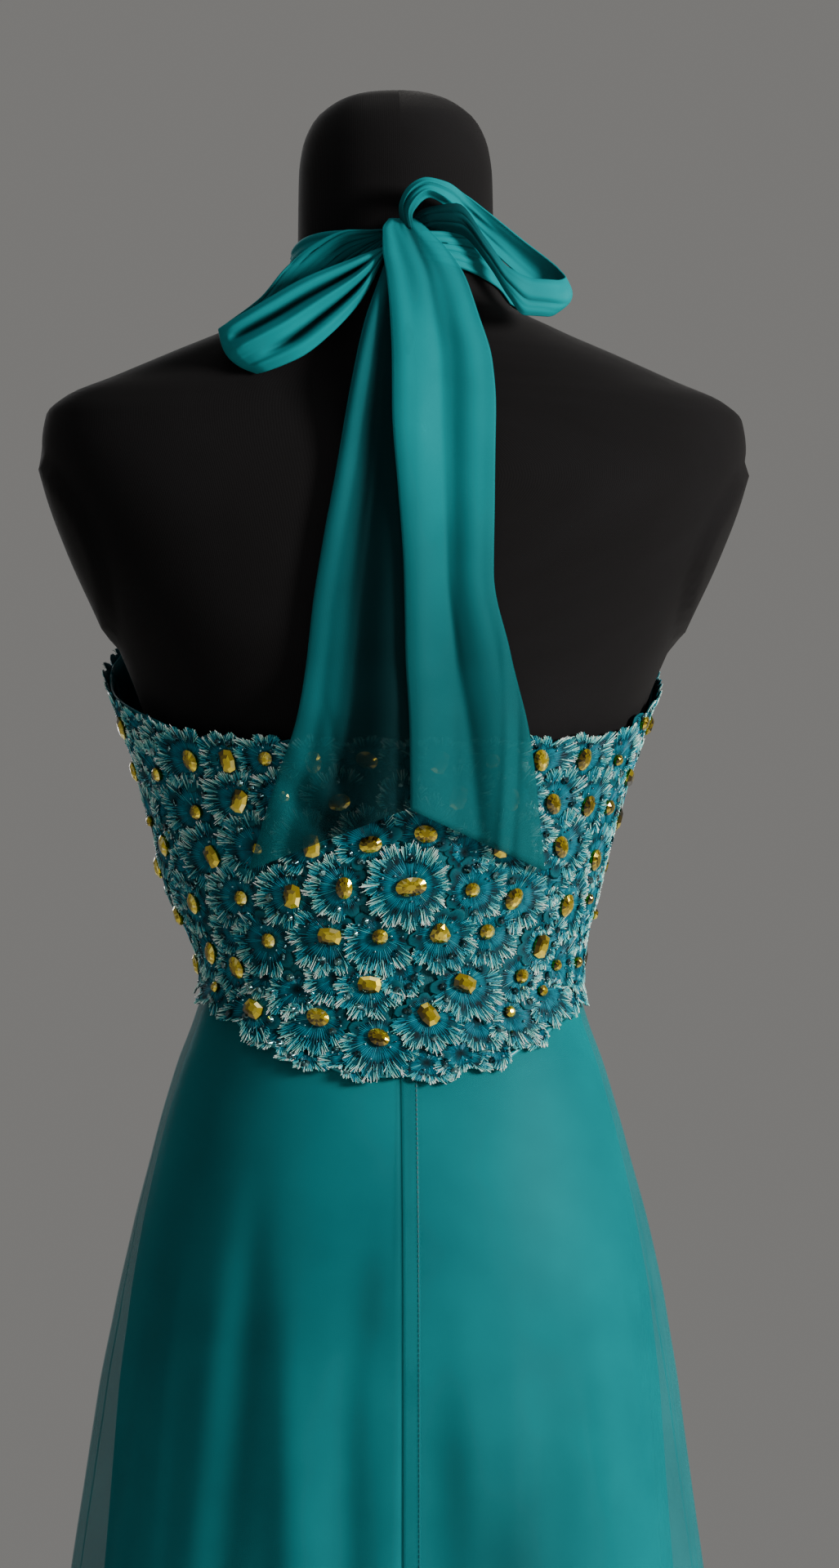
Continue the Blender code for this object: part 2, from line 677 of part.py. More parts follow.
def bodice_panel(name, start, end, finish, home):
    """A lace panel: a fine outside with its flowers and stones raised, over a plain inside."""
    outline = bodice_outline(start, end)
    raised, heights, rings = [], [], []
    places = flower_places()
    for t, z in places:
        t = t if t >= start * FLOWER_PITCH - FLOWER_PITCH / 2 else t + TURN
        t = t if t <= end * FLOWER_PITCH + FLOWER_PITCH / 2 else t - TURN
        if not inside(outline, t, z, STONE_MARGIN):
            continue
        stretch = float(bodice_stretch(t, z))
        nearest = sorted(apart((t, z), other) for other in places)[1]
        radius = min(FLOWER_RADIUS, FLOWER_SHARE * nearest)
        for count, size, height, ringed in (
            (RIM_POINTS, radius, RIM_HEIGHT, False),
            (STONE_POINTS, STONE_WIDTH / 2, STONE_FOOT, True),
            (STONE_POINTS - 2, TABLE_WIDTH / 2, STONE_HEIGHT, True),
        ):
            first = len(outline) + len(raised)
            for k in range(count):
                turn = TURN * (k + 0.5) / count
                place = (t + size * math.cos(turn) / stretch, z + size * math.sin(turn))
                if ringed or inside(outline, *place, 2 * MM):
                    raised.append(place)
                    heights.append(height)
            if ringed:
                rings += [(first + k, first + (k + 1) % count) for k in range(count)]
    plain = []
    columns = panel_angles(start * FLOWER_PITCH - FLOWER_PITCH, end * FLOWER_PITCH, INNER_STEP)
    for z in INNER_ROWS:
        plain += [(float(t), z) for t in columns if inside(outline, float(t), z, 4 * MM)]
    outer_faces = filled(outline, raised, rings)
    inner_faces = filled(outline, plain, [])
    at = np.array(outline + raised)
    outer = bodice_wall(at[:, 0], at[:, 1], BODICE_WALL + np.array([0.0] * len(outline) + heights))
    at = np.array(outline + plain)
    inner = bodice_wall(at[:, 0], at[:, 1], np.zeros(len(at)))
    count, shift = len(outline), len(outer)
    faces = outer_faces + [tuple(shift + i for i in face) for face in inner_faces]
    faces += [(i, (i + 1) % count, shift + (i + 1) % count, shift + i) for i in range(count)]
    mesh = mesh_of(name, np.concatenate([outer, inner]), faces)
    face_outwards(mesh)
    return add_object(name, mesh, finish, home)


def knot_centre():
    neck = float(back_y(0.0, KNOT_Z))
    return Vector((0, neck + KNOT_GAP + KNOT_HALF[1] * MM, KNOT_Z))


def make_knot(finish, home):
    """The tight bundle at the nape, with the gathers of the wrap round it."""
    work = bmesh.new()
    bmesh.ops.create_uvsphere(work, u_segments=16, v_segments=9, radius=1)
    for vertex in work.verts:
        x, y, z = vertex.co
        around = math.atan2(y, x)
        ripple = 1 - 0.05 * (1 - abs(z)) * (1 + math.cos(6 * around + 2 * z))
        boxy = (abs(x) ** 3 + abs(y) ** 3 + abs(z) ** 3) ** (1 / 3)
        vertex.co = Vector((x * KNOT_HALF[0], y * KNOT_HALF[1], z * KNOT_HALF[2])) * MM * ripple / boxy
    mesh = bpy.data.meshes.new("bow_knot")
    work.to_mesh(mesh)
    work.free()
    made = add_object("bow_knot", mesh, finish, home)
    made.location = knot_centre()
    mesh.shade_smooth()
    return made


def along_table(table, names, count):
    """Each column of a table, read at evenly spaced places between its first and last rows."""
    rows = np.arange(len(table), dtype=float)
    places = np.linspace(0, len(table) - 1, count)
    return {name: steady(rows, column(table, names, name), places) * MM for name in names}


def make_loop(name, table, form, finish, home):
    """A loop of the bow: a band between its two edges, crowned across, that never comes nearer the form."""
    at = along_table(table, LOOP_COLUMNS, 20)
    share = np.linspace(0, 1, 6)[None, :]
    x = at["upper_x"][:, None] * (1 - share) + at["lower_x"][:, None] * share
    z = at["upper_z"][:, None] * (1 - share) + at["lower_z"][:, None] * share
    side = np.sign(at["out"])[:, None]
    crown = LOOP_CROWN * np.sin(math.pi * share) * np.minimum(1, np.abs(at["out"]) / (4 * MM))[:, None]
    y = at["out"][:, None] + side * crown
    centre = knot_centre()
    points = np.stack([x + centre.x, y + centre.y, z + centre.z], axis=-1)
    points = kept_off(form, points, LOOP_GAP)
    if points[0, 0, 0] < points[5, 0, 0]:
        points = points[:, ::-1]
    return cloth_wall(name, points, TIE_WALL, finish, home)


def kept_off(form, points, gap):
    """Points moved out of the form where they are nearer to it than the gap."""
    moved = points.copy()
    for index in np.ndindex(points.shape[:-1]):
        place, normal = form.find_nearest(Vector(points[index]))[:2]
        signed = (Vector(points[index]) - place).dot(normal)
        if signed < gap:
            moved[index] = place + normal * gap
    return moved


def make_tail(name, table, over, off_knot, finish, home):
    """A hanging end of the tie: it falls from the knot and then lies down the back and over the lace."""
    at = along_table(table, TAIL_COLUMNS, 18)
    share = np.linspace(0, 1, 9)[None, :]
    centre = knot_centre()
    x = at["left_x"][:, None] * (1 - share) + at["right_x"][:, None] * share + centre.x
    z = at["left_z"][:, None] * (1 - share) + at["right_z"][:, None] * share + centre.z
    over = over * eased_step(-0.030, -0.006, x)
    clear = TAIL_OFF_FORM + TAIL_OFF_STONES * eased_step(1.270, 1.236, z) + over
    lying = back_y(x, z) + clear
    drop = np.clip((centre.z - z) / TAIL_HANG, 0, 1)
    knot_front = centre.y + KNOT_HALF[1] * MM + off_knot
    hung = knot_front + (back_y(x * 0, centre.z - TAIL_HANG) + clear - knot_front) * drop
    blend = eased_step(0.5, 1.0, drop)
    y = np.maximum(hung, lying) * (1 - blend) + lying * blend
    y = np.where(drop < 0.25, np.maximum(y, knot_front), y)
    fold = TAIL_FOLD * np.sin(2 * math.pi * share * 1.5 + 0.6) * eased_step(0.1, 0.4, drop)
    points = np.stack([x, y + fold, z], axis=-1)
    return cloth_wall(name, points[:, ::-1], TIE_WALL, finish, home)


def make_strap(name, side, form, finish, home):
    """A halter strap: gathered at the cup, up the chest, round the neck and into the knot."""
    rows = np.arange(len(STRAP), dtype=float)
    places = np.linspace(0, len(STRAP) - 1, 21)
    at = {n: steady(rows, column(STRAP, STRAP_COLUMNS, n), places) for n in STRAP_COLUMNS}
    middle = np.stack([at["x"] * side, at["y"], at["z"]], axis=-1)
    points = []
    for i, place in enumerate(middle):
        ahead = Vector(middle[min(i + 1, len(middle) - 1)] - middle[max(i - 1, 0)]).normalized()
        normal = form.find_nearest(Vector(place))[1]
        if i == 0:
            across = Vector((1, 0, 0)) * side
        else:
            across = ahead.cross(normal).normalized()
            across = across if across.dot(points[-1][0] - points[-1][-1]) > 0 else -across
        half = at["width"][i] / 2
        line = [Vector(place) + across * half * (1 - share) for share in np.linspace(0, 2, 5)]
        points.append(line)
    grid = kept_off(form, np.array([[tuple(p) for p in line] for line in points]), STRAP_GAP)
    if side > 0:
        grid = grid[:, ::-1]
    return cloth_wall(name, grid, TIE_WALL, finish, home)


def tree_of(made):
    bpy.context.view_layer.update()
    return BVHTree.FromObject(made, bpy.context.evaluated_depsgraph_get())


def finished_points(made):
    bpy.context.view_layer.update()
    shape = made.evaluated_get(bpy.context.evaluated_depsgraph_get())
    mesh = shape.to_mesh()
    points = [made.matrix_world @ vertex.co for vertex in mesh.vertices]
    shape.to_mesh_clear()
    return points


def bring_to(made, other):
    """Moves a piece of the bow straight towards the knot until it lies against it."""
    for _ in range(4):
        meetings = []
        for mover, still, sign in ((made, other, 1), (other, made, -1)):
            tree = tree_of(still)
            for point in finished_points(mover):
                place = tree.find_nearest(point)[0]
                meetings.append(((place - point).length, (place - point) * sign))
        far, way = min(meetings, key=lambda meeting: meeting[0])
        made.data.transform(Matrix.Translation(way * (1 - KNOT_TOUCH / far)))


def main():
    for old in list(bpy.data.objects):
        bpy.data.objects.remove(old)
    home = collection("halter_gown_on_dress_form")
    jersey = material("black_jersey", (0.012, 0.011, 0.012), 0.85)
    metal = material("stand_black_enamel", (0.02, 0.02, 0.02), 0.4, 0.3)
    satin = material("teal_satin", (0.003, 0.16, 0.19), 0.4)
    sheer = material("teal_chiffon", (0.004, 0.22, 0.25), 0.6)
    lace = material("embroidered_lace", (0.02, 0.24, 0.28), 0.7)
    form = make_form(jersey, home)
    make_stand(metal, home)
    make_skirt(home, satin, sheer)
    for name, (start, end) in SEAM_COLUMNS.items():
        bodice_panel(name, start, end, lace, home)
    solid = tree_of(form)
    knot = make_knot(sheer, home)
    bring_to(make_loop("bow_loop_left", LOOP_LEFT, solid, sheer, home), knot)
    bring_to(make_loop("bow_loop_right", LOOP_RIGHT, solid, sheer, home), knot)
    make_tail("tie_end_left", TAIL_LEFT, 0.0, -1.2 * MM, sheer, home)
    make_tail("tie_end_right", TAIL_RIGHT, 6 * MM, 1.0 * MM, sheer, home)
    make_strap("halter_strap_left", 1, solid, sheer, home)
    make_strap("halter_strap_right", -1, solid, sheer, home)


main()
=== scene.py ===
# Halter evening gown on its black limbless dress form: the finished look round the fixed frame.
# Metres, +Z up. The gown's front faces -Y and its back +Y, and +X is the wearer's left.
# Angles round the body start at the centre back and grow towards +X.
import json
import math

import bmesh
import bpy
import numpy as np
from mathutils import Matrix, Vector
from mathutils.bvhtree import BVHTree

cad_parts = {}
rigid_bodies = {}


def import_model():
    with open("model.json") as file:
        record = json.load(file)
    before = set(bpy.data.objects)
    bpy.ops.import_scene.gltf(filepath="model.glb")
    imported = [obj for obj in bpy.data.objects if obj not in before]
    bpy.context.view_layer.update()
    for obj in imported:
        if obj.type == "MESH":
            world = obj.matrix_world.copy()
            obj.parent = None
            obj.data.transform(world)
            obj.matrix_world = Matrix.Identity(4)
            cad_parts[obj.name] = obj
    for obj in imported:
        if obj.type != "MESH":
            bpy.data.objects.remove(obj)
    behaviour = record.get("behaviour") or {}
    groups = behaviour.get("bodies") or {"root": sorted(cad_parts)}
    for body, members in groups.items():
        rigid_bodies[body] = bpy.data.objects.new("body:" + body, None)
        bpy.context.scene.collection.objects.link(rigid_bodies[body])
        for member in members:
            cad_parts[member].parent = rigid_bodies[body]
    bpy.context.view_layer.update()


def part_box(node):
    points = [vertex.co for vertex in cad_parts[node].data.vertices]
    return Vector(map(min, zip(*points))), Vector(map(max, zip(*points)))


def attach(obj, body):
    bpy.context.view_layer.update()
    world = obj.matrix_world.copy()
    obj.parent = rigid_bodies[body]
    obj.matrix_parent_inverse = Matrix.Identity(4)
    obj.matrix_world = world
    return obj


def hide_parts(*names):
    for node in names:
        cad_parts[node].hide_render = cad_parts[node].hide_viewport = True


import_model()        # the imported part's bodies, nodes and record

mm = 0.001
turn = 2 * math.pi
waistZ = 1.080
home = bpy.data.collections.new("finishedGown")
bpy.context.scene.collection.children.link(home)
parts = bpy.data.collections.new("partsToRepeat")     # small shapes that the node trees set out
bpy.context.scene.collection.children.link(parts)
parts.hide_render = True


# Reading the measured tables

def columnOf(table, columns, name):
    return np.array([row[columns.index(name)] for row in table], float)


def smoothCurve(xs, ys, x):
    step = np.diff(xs)
    slope = np.diff(ys) / step
    lean = np.zeros(len(xs))
    same = slope[:-1] * slope[1:] > 0
    both = np.where(same, slope[:-1] + slope[1:], 1.0)
    lean[1:-1] = np.where(same, 2 * slope[:-1] * slope[1:] / both, 0.0)
    lean[0], lean[-1] = slope[0], slope[-1]
    x = np.clip(x, xs[0], xs[-1])
    i = np.clip(np.searchsorted(xs, x, side="right") - 1, 0, len(xs) - 2)
    h = step[i]
    u = (x - xs[i]) / h
    start = ys[i] * (1 + 2 * u) * (1 - u) ** 2 + lean[i] * h * u * (1 - u) ** 2
    return start + ys[i + 1] * u * u * (3 - 2 * u) + lean[i + 1] * h * u * u * (u - 1)


def readTable(table, columns, key, name, x):
    return smoothCurve(columnOf(table, columns, key), columnOf(table, columns, name), x)


def easedStep(low, high, x):
    u = np.clip((x - low) / (high - low), 0, 1)
    return u * u * (3 - 2 * u)


def bump(x, middle, spread):
    return np.exp(-(((x - middle) / spread) ** 2))


# The form's level sections, from the floor up; below the form they only carry the skirt
bodyColumns = ("z", "side", "back", "front", "centreY", "square")
bodySections = (
    (0.000, 0.1530, 0.112, 0.102, 0.000, 2.15),
    (0.740, 0.1530, 0.112, 0.102, 0.000, 2.15),
    (0.840, 0.1525, 0.114, 0.103, 0.000, 2.15),
    (0.888, 0.1500, 0.114, 0.102, 0.000, 2.15),
    (0.937, 0.1435, 0.110, 0.099, 0.000, 2.15),
    (0.985, 0.1335, 0.100, 0.095, 0.000, 2.15),
    (1.031, 0.1205, 0.087, 0.089, 0.000, 2.15),
    (1.062, 0.1095, 0.078, 0.083, 0.000, 2.15),
    (1.080, 0.1060, 0.076, 0.081, 0.000, 2.15),
    (1.107, 0.1110, 0.080, 0.084, 0.000, 2.15),
    (1.136, 0.1185, 0.086, 0.089, 0.000, 2.15),
    (1.179, 0.1288, 0.093, 0.096, 0.000, 2.15),
    (1.208, 0.1370, 0.097, 0.100, 0.000, 2.20),
    (1.232, 0.1450, 0.100, 0.102, 0.000, 2.25),
    (1.257, 0.1540, 0.101, 0.103, 0.000, 2.30),
    (1.276, 0.1620, 0.101, 0.103, 0.000, 2.40),
    (1.296, 0.1710, 0.100, 0.101, 0.000, 2.50),
    (1.335, 0.1890, 0.096, 0.095, 0.000, 2.60),
    (1.373, 0.2030, 0.088, 0.083, 0.000, 2.75),
    (1.398, 0.2085, 0.079, 0.072, 0.001, 2.85),
    (1.415, 0.2060, 0.072, 0.064, 0.002, 2.90),
    (1.426, 0.1940, 0.067, 0.059, 0.003, 2.90),
    (1.437, 0.1680, 0.063, 0.056, 0.004, 2.80),
    (1.453, 0.1310, 0.060, 0.054, 0.005, 2.60),
    (1.468, 0.0960, 0.058, 0.053, 0.005, 2.30),
    (1.484, 0.0660, 0.056, 0.053, 0.004, 2.05),
    (1.500, 0.0585, 0.056, 0.054, 0.002, 2.00),
    (1.560, 0.0575, 0.057, 0.056, -0.006, 2.00),
    (1.576, 0.0555, 0.055, 0.055, -0.008, 2.00),
    (1.592, 0.0490, 0.048, 0.048, -0.009, 2.00),
    (1.603, 0.0370, 0.036, 0.036, -0.010, 2.00),
    (1.6085, 0.0240, 0.024, 0.024, -0.010, 2.00),
    (1.610, 0.0120, 0.012, 0.012, -0.010, 2.00),
)
bust = {"x": 0.072, "z": 1.222, "spread": 0.043, "height": 0.024}
easeColumns = ("z", "side", "back", "front")
satinEase = (
    (0.000, 0.090, 0.093, 0.090),
    (0.400, 0.046, 0.048, 0.046),
    (0.743, 0.012, 0.012, 0.012),
    (0.840, 0.005, 0.004, 0.005),
    (0.888, 0.002, 0.001, 0.002),
    (0.985, 0.0005, 0.000, 0.000),
    (1.062, 0.001, 0.000, 0.000),
    (1.080, 0.000, 0.000, 0.000),
)
chiffonEase = (
    (0.000, 0.112, 0.110, 0.108),
    (0.400, 0.067, 0.064, 0.062),
    (0.743, 0.0255, 0.0225, 0.0235),
    (0.790, 0.0195, 0.0165, 0.0185),
    (0.840, 0.0133, 0.010, 0.012),
    (0.888, 0.0080, 0.005, 0.007),
    (0.937, 0.0050, 0.002, 0.004),
    (0.985, 0.0030, 0.001, 0.002),
    (1.046, 0.0030, 0.000, 0.001),
    (1.062, 0.0028, 0.000, 0.000),
    (1.080, 0.0000, 0.000, 0.000),
)


def radiansFrom(t, middle):      # the short way round from one angle to another
    return (t - middle + math.pi) % turn - math.pi


def degreesFrom(t, middle):
    return (np.degrees(t) - middle + 180) % 360 - 180


def signedPower(value, power):
    return np.sign(value) * np.abs(value) ** power


def bodyPoint(t, z, ease=None):
    t, z = np.broadcast_arrays(np.asarray(t, float), np.asarray(z, float))
    size = {name: readTable(bodySections, bodyColumns, "z", name, z) for name in bodyColumns[1:]}
    if ease is not None:
        for name in easeColumns[1:]:
            size[name] = size[name] + readTable(ease, easeColumns, "z", name, z)
    across, along = np.sin(t), np.cos(t)
    power = 2 / size["square"]
    depth = np.where(along >= 0, size["back"], size["front"])
    x = size["side"] * signedPower(across, power)
    y = size["centreY"] + depth * signedPower(along, power)
    off = (np.abs(x) - bust["x"]) ** 2 + (z - bust["z"]) ** 2
    cup = bust["height"] * np.exp(-off / (2 * bust["spread"] ** 2)) * easedStep(0.1, 0.7, -along)
    return np.stack([x, y - cup, z], axis=-1)


def outward(t, z, ease=None):
    dt, dz = 1e-3, 0.2 * mm
    around = bodyPoint(t + dt, z, ease) - bodyPoint(t - dt, z, ease)
    up = bodyPoint(t, np.asarray(z) + dz, ease) - bodyPoint(t, np.asarray(z) - dz, ease)
    normal = np.cross(up, around)
    return normal / np.linalg.norm(normal, axis=-1, keepdims=True)


def offBody(t, z, out, ease=None):
    return bodyPoint(t, z, ease) + outward(t, z, ease) * np.asarray(out)[..., None]


def backY(x, z):      # how far back the form reaches, seen from behind
    names = ("side", "back", "centreY", "square")
    side, depth, middle, square = (readTable(bodySections, bodyColumns, "z", name, z) for name in names)
    share = np.clip(np.abs(x) / side, 0, 0.97)
    return middle + depth * (1 - share**square) ** (1 / square)


# Node trees: one function adds any node with its values, links, settings and a colour ramp's stops

def addNode(tree, kind, values=None, links=None, stops=(), **settings):
    node = tree.nodes.new(kind)
    for name, value in settings.items():
        setattr(node, name, value)
    for key, value in (values or {}).items():
        node.inputs[key].default_value = value
    for key, source in (links or {}).items():
        tree.links.new(source, node.inputs[key])
    while stops and len(node.color_ramp.elements) < len(stops):
        node.color_ramp.elements.new(0.5)
    for index, (position, colour) in enumerate(stops):
        element = node.color_ramp.elements[index]
        element.position, element.color = position, srgb(colour)
    return node


def srgb(code):
    channels = [int(code[i:i + 2], 16) / 255 for i in (1, 3, 5)]
    linear = [c / 12.92 if c <= 0.04045 else ((c + 0.055) / 1.055) ** 2.4 for c in channels]
    return (*linear, 1.0)


def newMaterial(name, **sockets):
    made = bpy.data.materials.new(name)
    made.use_nodes = True
    shader = made.node_tree.nodes["Principled BSDF"]
    for key, value in sockets.items():
        shader.inputs[key.replace("_", " ")].default_value = value
    return made, made.node_tree, shader


def bandScale(spacing):      # a wave texture's scale for bands that far apart
    return turn / 20 / spacing


def clothFinish(name, deep, bright, threadSpacing, relief, mottle=24.0, paintedShadeColour=None, **sockets):
    # Colours drift softly between two dyes, and the weave is two crossed sets of bands in the cloth's UV.
    # Painted shade: where the attribute is set, the dye is taken point by point towards a darker painted
    # shade colour.
    made, tree, shader = newMaterial(name, **sockets)
    uv = addNode(tree, "ShaderNodeUVMap", uv_map="cloth").outputs["UV"]
    drift = addNode(tree, "ShaderNodeTexNoise", {"Scale": mottle, "Detail": 3.0, "Roughness": 0.55},
                    {"Vector": uv})
    dye = addNode(tree, "ShaderNodeValToRGB", links={"Fac": drift.outputs["Fac"]},
                  stops=((0.30, deep), (0.72, bright))).outputs["Color"]
    if paintedShadeColour:
        paintedShade = addNode(tree, "ShaderNodeAttribute", attribute_name="paintedShade")
        dye = addNode(tree, "ShaderNodeMix", {7: srgb(paintedShadeColour)}, {0: paintedShade.outputs["Fac"], 6: dye},
                      data_type="RGBA").outputs[2]
    tree.links.new(dye, shader.inputs["Base Color"])
    bands = {"Scale": bandScale(threadSpacing), "Distortion": 0.6, "Detail": 1.0}
    warp, weft = (addNode(tree, "ShaderNodeTexWave", bands, {"Vector": uv}, bands_direction=way)
                  for way in "XY")
    weave = addNode(tree, "ShaderNodeMath", links={0: warp.outputs["Fac"], 1: weft.outputs["Fac"]},
                    operation="ADD")
    raised = addNode(tree, "ShaderNodeBump", {"Strength": 0.35, "Distance": relief},
                     {"Height": weave.outputs["Value"]})
    tree.links.new(raised.outputs["Normal"], shader.inputs["Normal"])
    return made


def chiffonFinish(name, deep, bright, paintedShadeColour, alpha):
    # Silk chiffon: sheer, matt and slightly crisp; threads drawn 1 mm apart so that they show
    return clothFinish(name, deep, bright, 1.0 * mm, 0.05 * mm, 11.0, paintedShadeColour, Roughness=0.75,
                       Specular_IOR_Level=0.1, Alpha=alpha)


def jerseyFinish():
    # Cotton jersey: matt, soft edge sheen, upright wales drawn as coarse as 1.2 mm so that they show
    made, tree, shader = newMaterial("blackCottonJersey", Roughness=0.9, Specular_IOR_Level=0.18,
                                     Sheen_Weight=0.05, Sheen_Roughness=0.4)
    uv = addNode(tree, "ShaderNodeUVMap", uv_map="cloth").outputs["UV"]
    bands = {"Scale": bandScale(1.2 * mm), "Distortion": 1.2, "Detail": 1.0}
    wales = addNode(tree, "ShaderNodeTexWave", bands, {"Vector": uv}, bands_direction="X")
    fluff = addNode(tree, "ShaderNodeTexNoise", {"Scale": 900.0, "Detail": 2.0}, {"Vector": uv})
    dust = addNode(tree, "ShaderNodeTexNoise", {"Scale": 14.0, "Detail": 5.0}, {"Vector": uv})
    dye = addNode(tree, "ShaderNodeValToRGB", links={"Fac": dust.outputs["Fac"]},
                  stops=((0.35, "#040304"), (0.75, "#09080A")))
    tree.links.new(dye.outputs["Color"], shader.inputs["Base Color"])
    height = addNode(tree, "ShaderNodeMath", links={0: wales.outputs["Fac"], 1: fluff.outputs["Fac"]},
                     operation="ADD")
    raised = addNode(tree, "ShaderNodeBump", {"Strength": 0.4, "Distance": 0.12 * mm},
                     {"Height": height.outputs["Value"]})
    tree.links.new(raised.outputs["Normal"], shader.inputs["Normal"])
    return made


def enamelFinish():
    # Baked satin enamel on steel: black, faint orange peel
    made, tree, shader = newMaterial("blackBakedEnamel", Base_Color=srgb("#16161A"), Coat_Weight=0.25)
    place = addNode(tree, "ShaderNodeTexCoord").outputs["Object"]
    peel = addNode(tree, "ShaderNodeTexNoise", {"Scale": 700.0, "Detail": 1.0}, {"Vector": place})
    rough = addNode(tree, "ShaderNodeMapRange", {"To Min": 0.32, "To Max": 0.46},
                    {"Value": peel.outputs["Fac"]})
    raised = addNode(tree, "ShaderNodeBump", {"Strength": 0.15, "Distance": 0.05 * mm},
                     {"Height": peel.outputs["Fac"]})
    tree.links.new(rough.outputs["Result"], shader.inputs["Roughness"])
    tree.links.new(raised.outputs["Normal"], shader.inputs["Normal"])
    return made


def embroideryFill():
    # Rayon fill stitches seen as a whole: dark blue-green at the root and an eye in each lobe.
    # The petal map's U counts lobes and its V runs from the stone to the rim.
    made, tree, shader = newMaterial("embroideryFill", Roughness=0.6, Specular_IOR_Level=0.12)
    uv = addNode(tree, "ShaderNodeUVMap", uv_map="petal")
    place = addNode(tree, "ShaderNodeSeparateXYZ", links={"Vector": uv.outputs["UV"]})
    lobe = addNode(tree, "ShaderNodeMath", links={0: place.outputs["X"]}, operation="FRACT")
    sideways = addNode(tree, "ShaderNodeMath", {1: 0.5}, {0: lobe.outputs["Value"]}, operation="SUBTRACT")
    stretched = addNode(tree, "ShaderNodeMapping", {"Scale": (26.0, 2.2, 1.0)}, {"Vector": uv.outputs["UV"]})
    strands = addNode(tree, "ShaderNodeTexNoise", {"Scale": 1.0, "Detail": 3.0, "Roughness": 0.7},
                      {"Vector": stretched.outputs["Vector"]})
    ragged = addNode(tree, "ShaderNodeMath", {1: 0.34, 2: -0.17}, {0: strands.outputs["Fac"]},
                     operation="MULTIPLY_ADD")
    reach = addNode(tree, "ShaderNodeMath", links={0: place.outputs["Y"], 1: ragged.outputs["Value"]},
                    operation="ADD")
    dye = addNode(tree, "ShaderNodeValToRGB", links={"Fac": reach.outputs["Value"]},
                  stops=((0.05, "#001A20"), (0.22, "#003E4A"), (0.42, "#006676"), (0.58, "#002C35"),
                         (0.74, "#003C46"), (0.92, "#00525C"), (1.0, "#003A40")))
    along = addNode(tree, "ShaderNodeMath", {1: 0.62}, {0: place.outputs["Y"]}, operation="SUBTRACT")
    fromEye = addNode(tree, "ShaderNodeCombineXYZ",
                      links={"X": sideways.outputs["Value"], "Y": along.outputs["Value"]})
    spot = addNode(tree, "ShaderNodeVectorMath", {1: (2.3, 4.2, 1.0)}, {0: fromEye.outputs["Vector"]},
                   operation="MULTIPLY")
    far = addNode(tree, "ShaderNodeVectorMath", links={0: spot.outputs["Vector"]}, operation="LENGTH")
    edge = {"From Min": 0.25, "From Max": 0.55, "To Min": 0.85, "To Max": 0.0}
    eye = addNode(tree, "ShaderNodeMapRange", edge, {"Value": far.outputs["Value"]})
    mixed = addNode(tree, "ShaderNodeMix", {7: srgb("#03171D")},
                    {0: eye.outputs["Result"], 6: dye.outputs["Color"]}, data_type="RGBA")
    tree.links.new(mixed.outputs[2], shader.inputs["Base Color"])
    raised = addNode(tree, "ShaderNodeBump", {"Strength": 0.9, "Distance": 0.35 * mm},
                     {"Height": strands.outputs["Fac"]})
    tree.links.new(raised.outputs["Normal"], shader.inputs["Normal"])
    return made


def tonedFinish(name, stops, **sockets):      # each strand, sequin or bead takes its colour by its own tone
    made, tree, shader = newMaterial(name, **sockets)
    tone = addNode(tree, "ShaderNodeAttribute", attribute_name="tone")
    dye = addNode(tree, "ShaderNodeValToRGB", links={"Fac": tone.outputs["Fac"]}, stops=stops)
    tree.links.new(dye.outputs["Color"], shader.inputs["Base Color"])
    return made


def crystalFinish():
    # Foiled cut crystal in a citrine amber, with painted light on its facets: each facet's colour, from dark
    # olive up to a pale painted highlight, follows its facet attribute and the stone's tone
    made, tree, shader = newMaterial("citrineCrystal", Roughness=0.16, IOR=1.56, Metallic=0.85,
                                     Coat_Weight=1.0, Coat_Roughness=0.04)
    paintedFacetLight = addNode(tree, "ShaderNodeAttribute", attribute_name="paintedFacetLight")
    stone = addNode(tree, "ShaderNodeAttribute", attribute_name="tone")
    share = addNode(tree, "ShaderNodeMath", {1: 0.2}, {0: stone.outputs["Fac"], 2: paintedFacetLight.outputs["Fac"]},
                    operation="MULTIPLY_ADD")
    dye = addNode(tree, "ShaderNodeValToRGB", links={"Fac": share.outputs["Value"]},
                  stops=((0.10, "#1E1802"), (0.32, "#665606"), (0.54, "#B8A00E"), (0.80, "#FFE63A"),
                         (1.0, "#FFFAC0")))
    tree.links.new(dye.outputs["Color"], shader.inputs["Base Color"])
    return made


def foilFinish():
    # The gilt foil behind each stone throws the light back through its facets
    made, tree, shader = newMaterial("giltFoil", Metallic=1.0, Roughness=0.16)
    place = addNode(tree, "ShaderNodeTexCoord").outputs["Object"]
    age = addNode(tree, "ShaderNodeTexNoise", {"Scale": 260.0, "Detail": 2.0}, {"Vector": place})
    dye = addNode(tree, "ShaderNodeValToRGB", links={"Fac": age.outputs["Fac"]},
                  stops=((0.0, "#8A7408"), (1.0, "#F0DC3C")))
    tree.links.new(dye.outputs["Color"], shader.inputs["Base Color"])
    return made


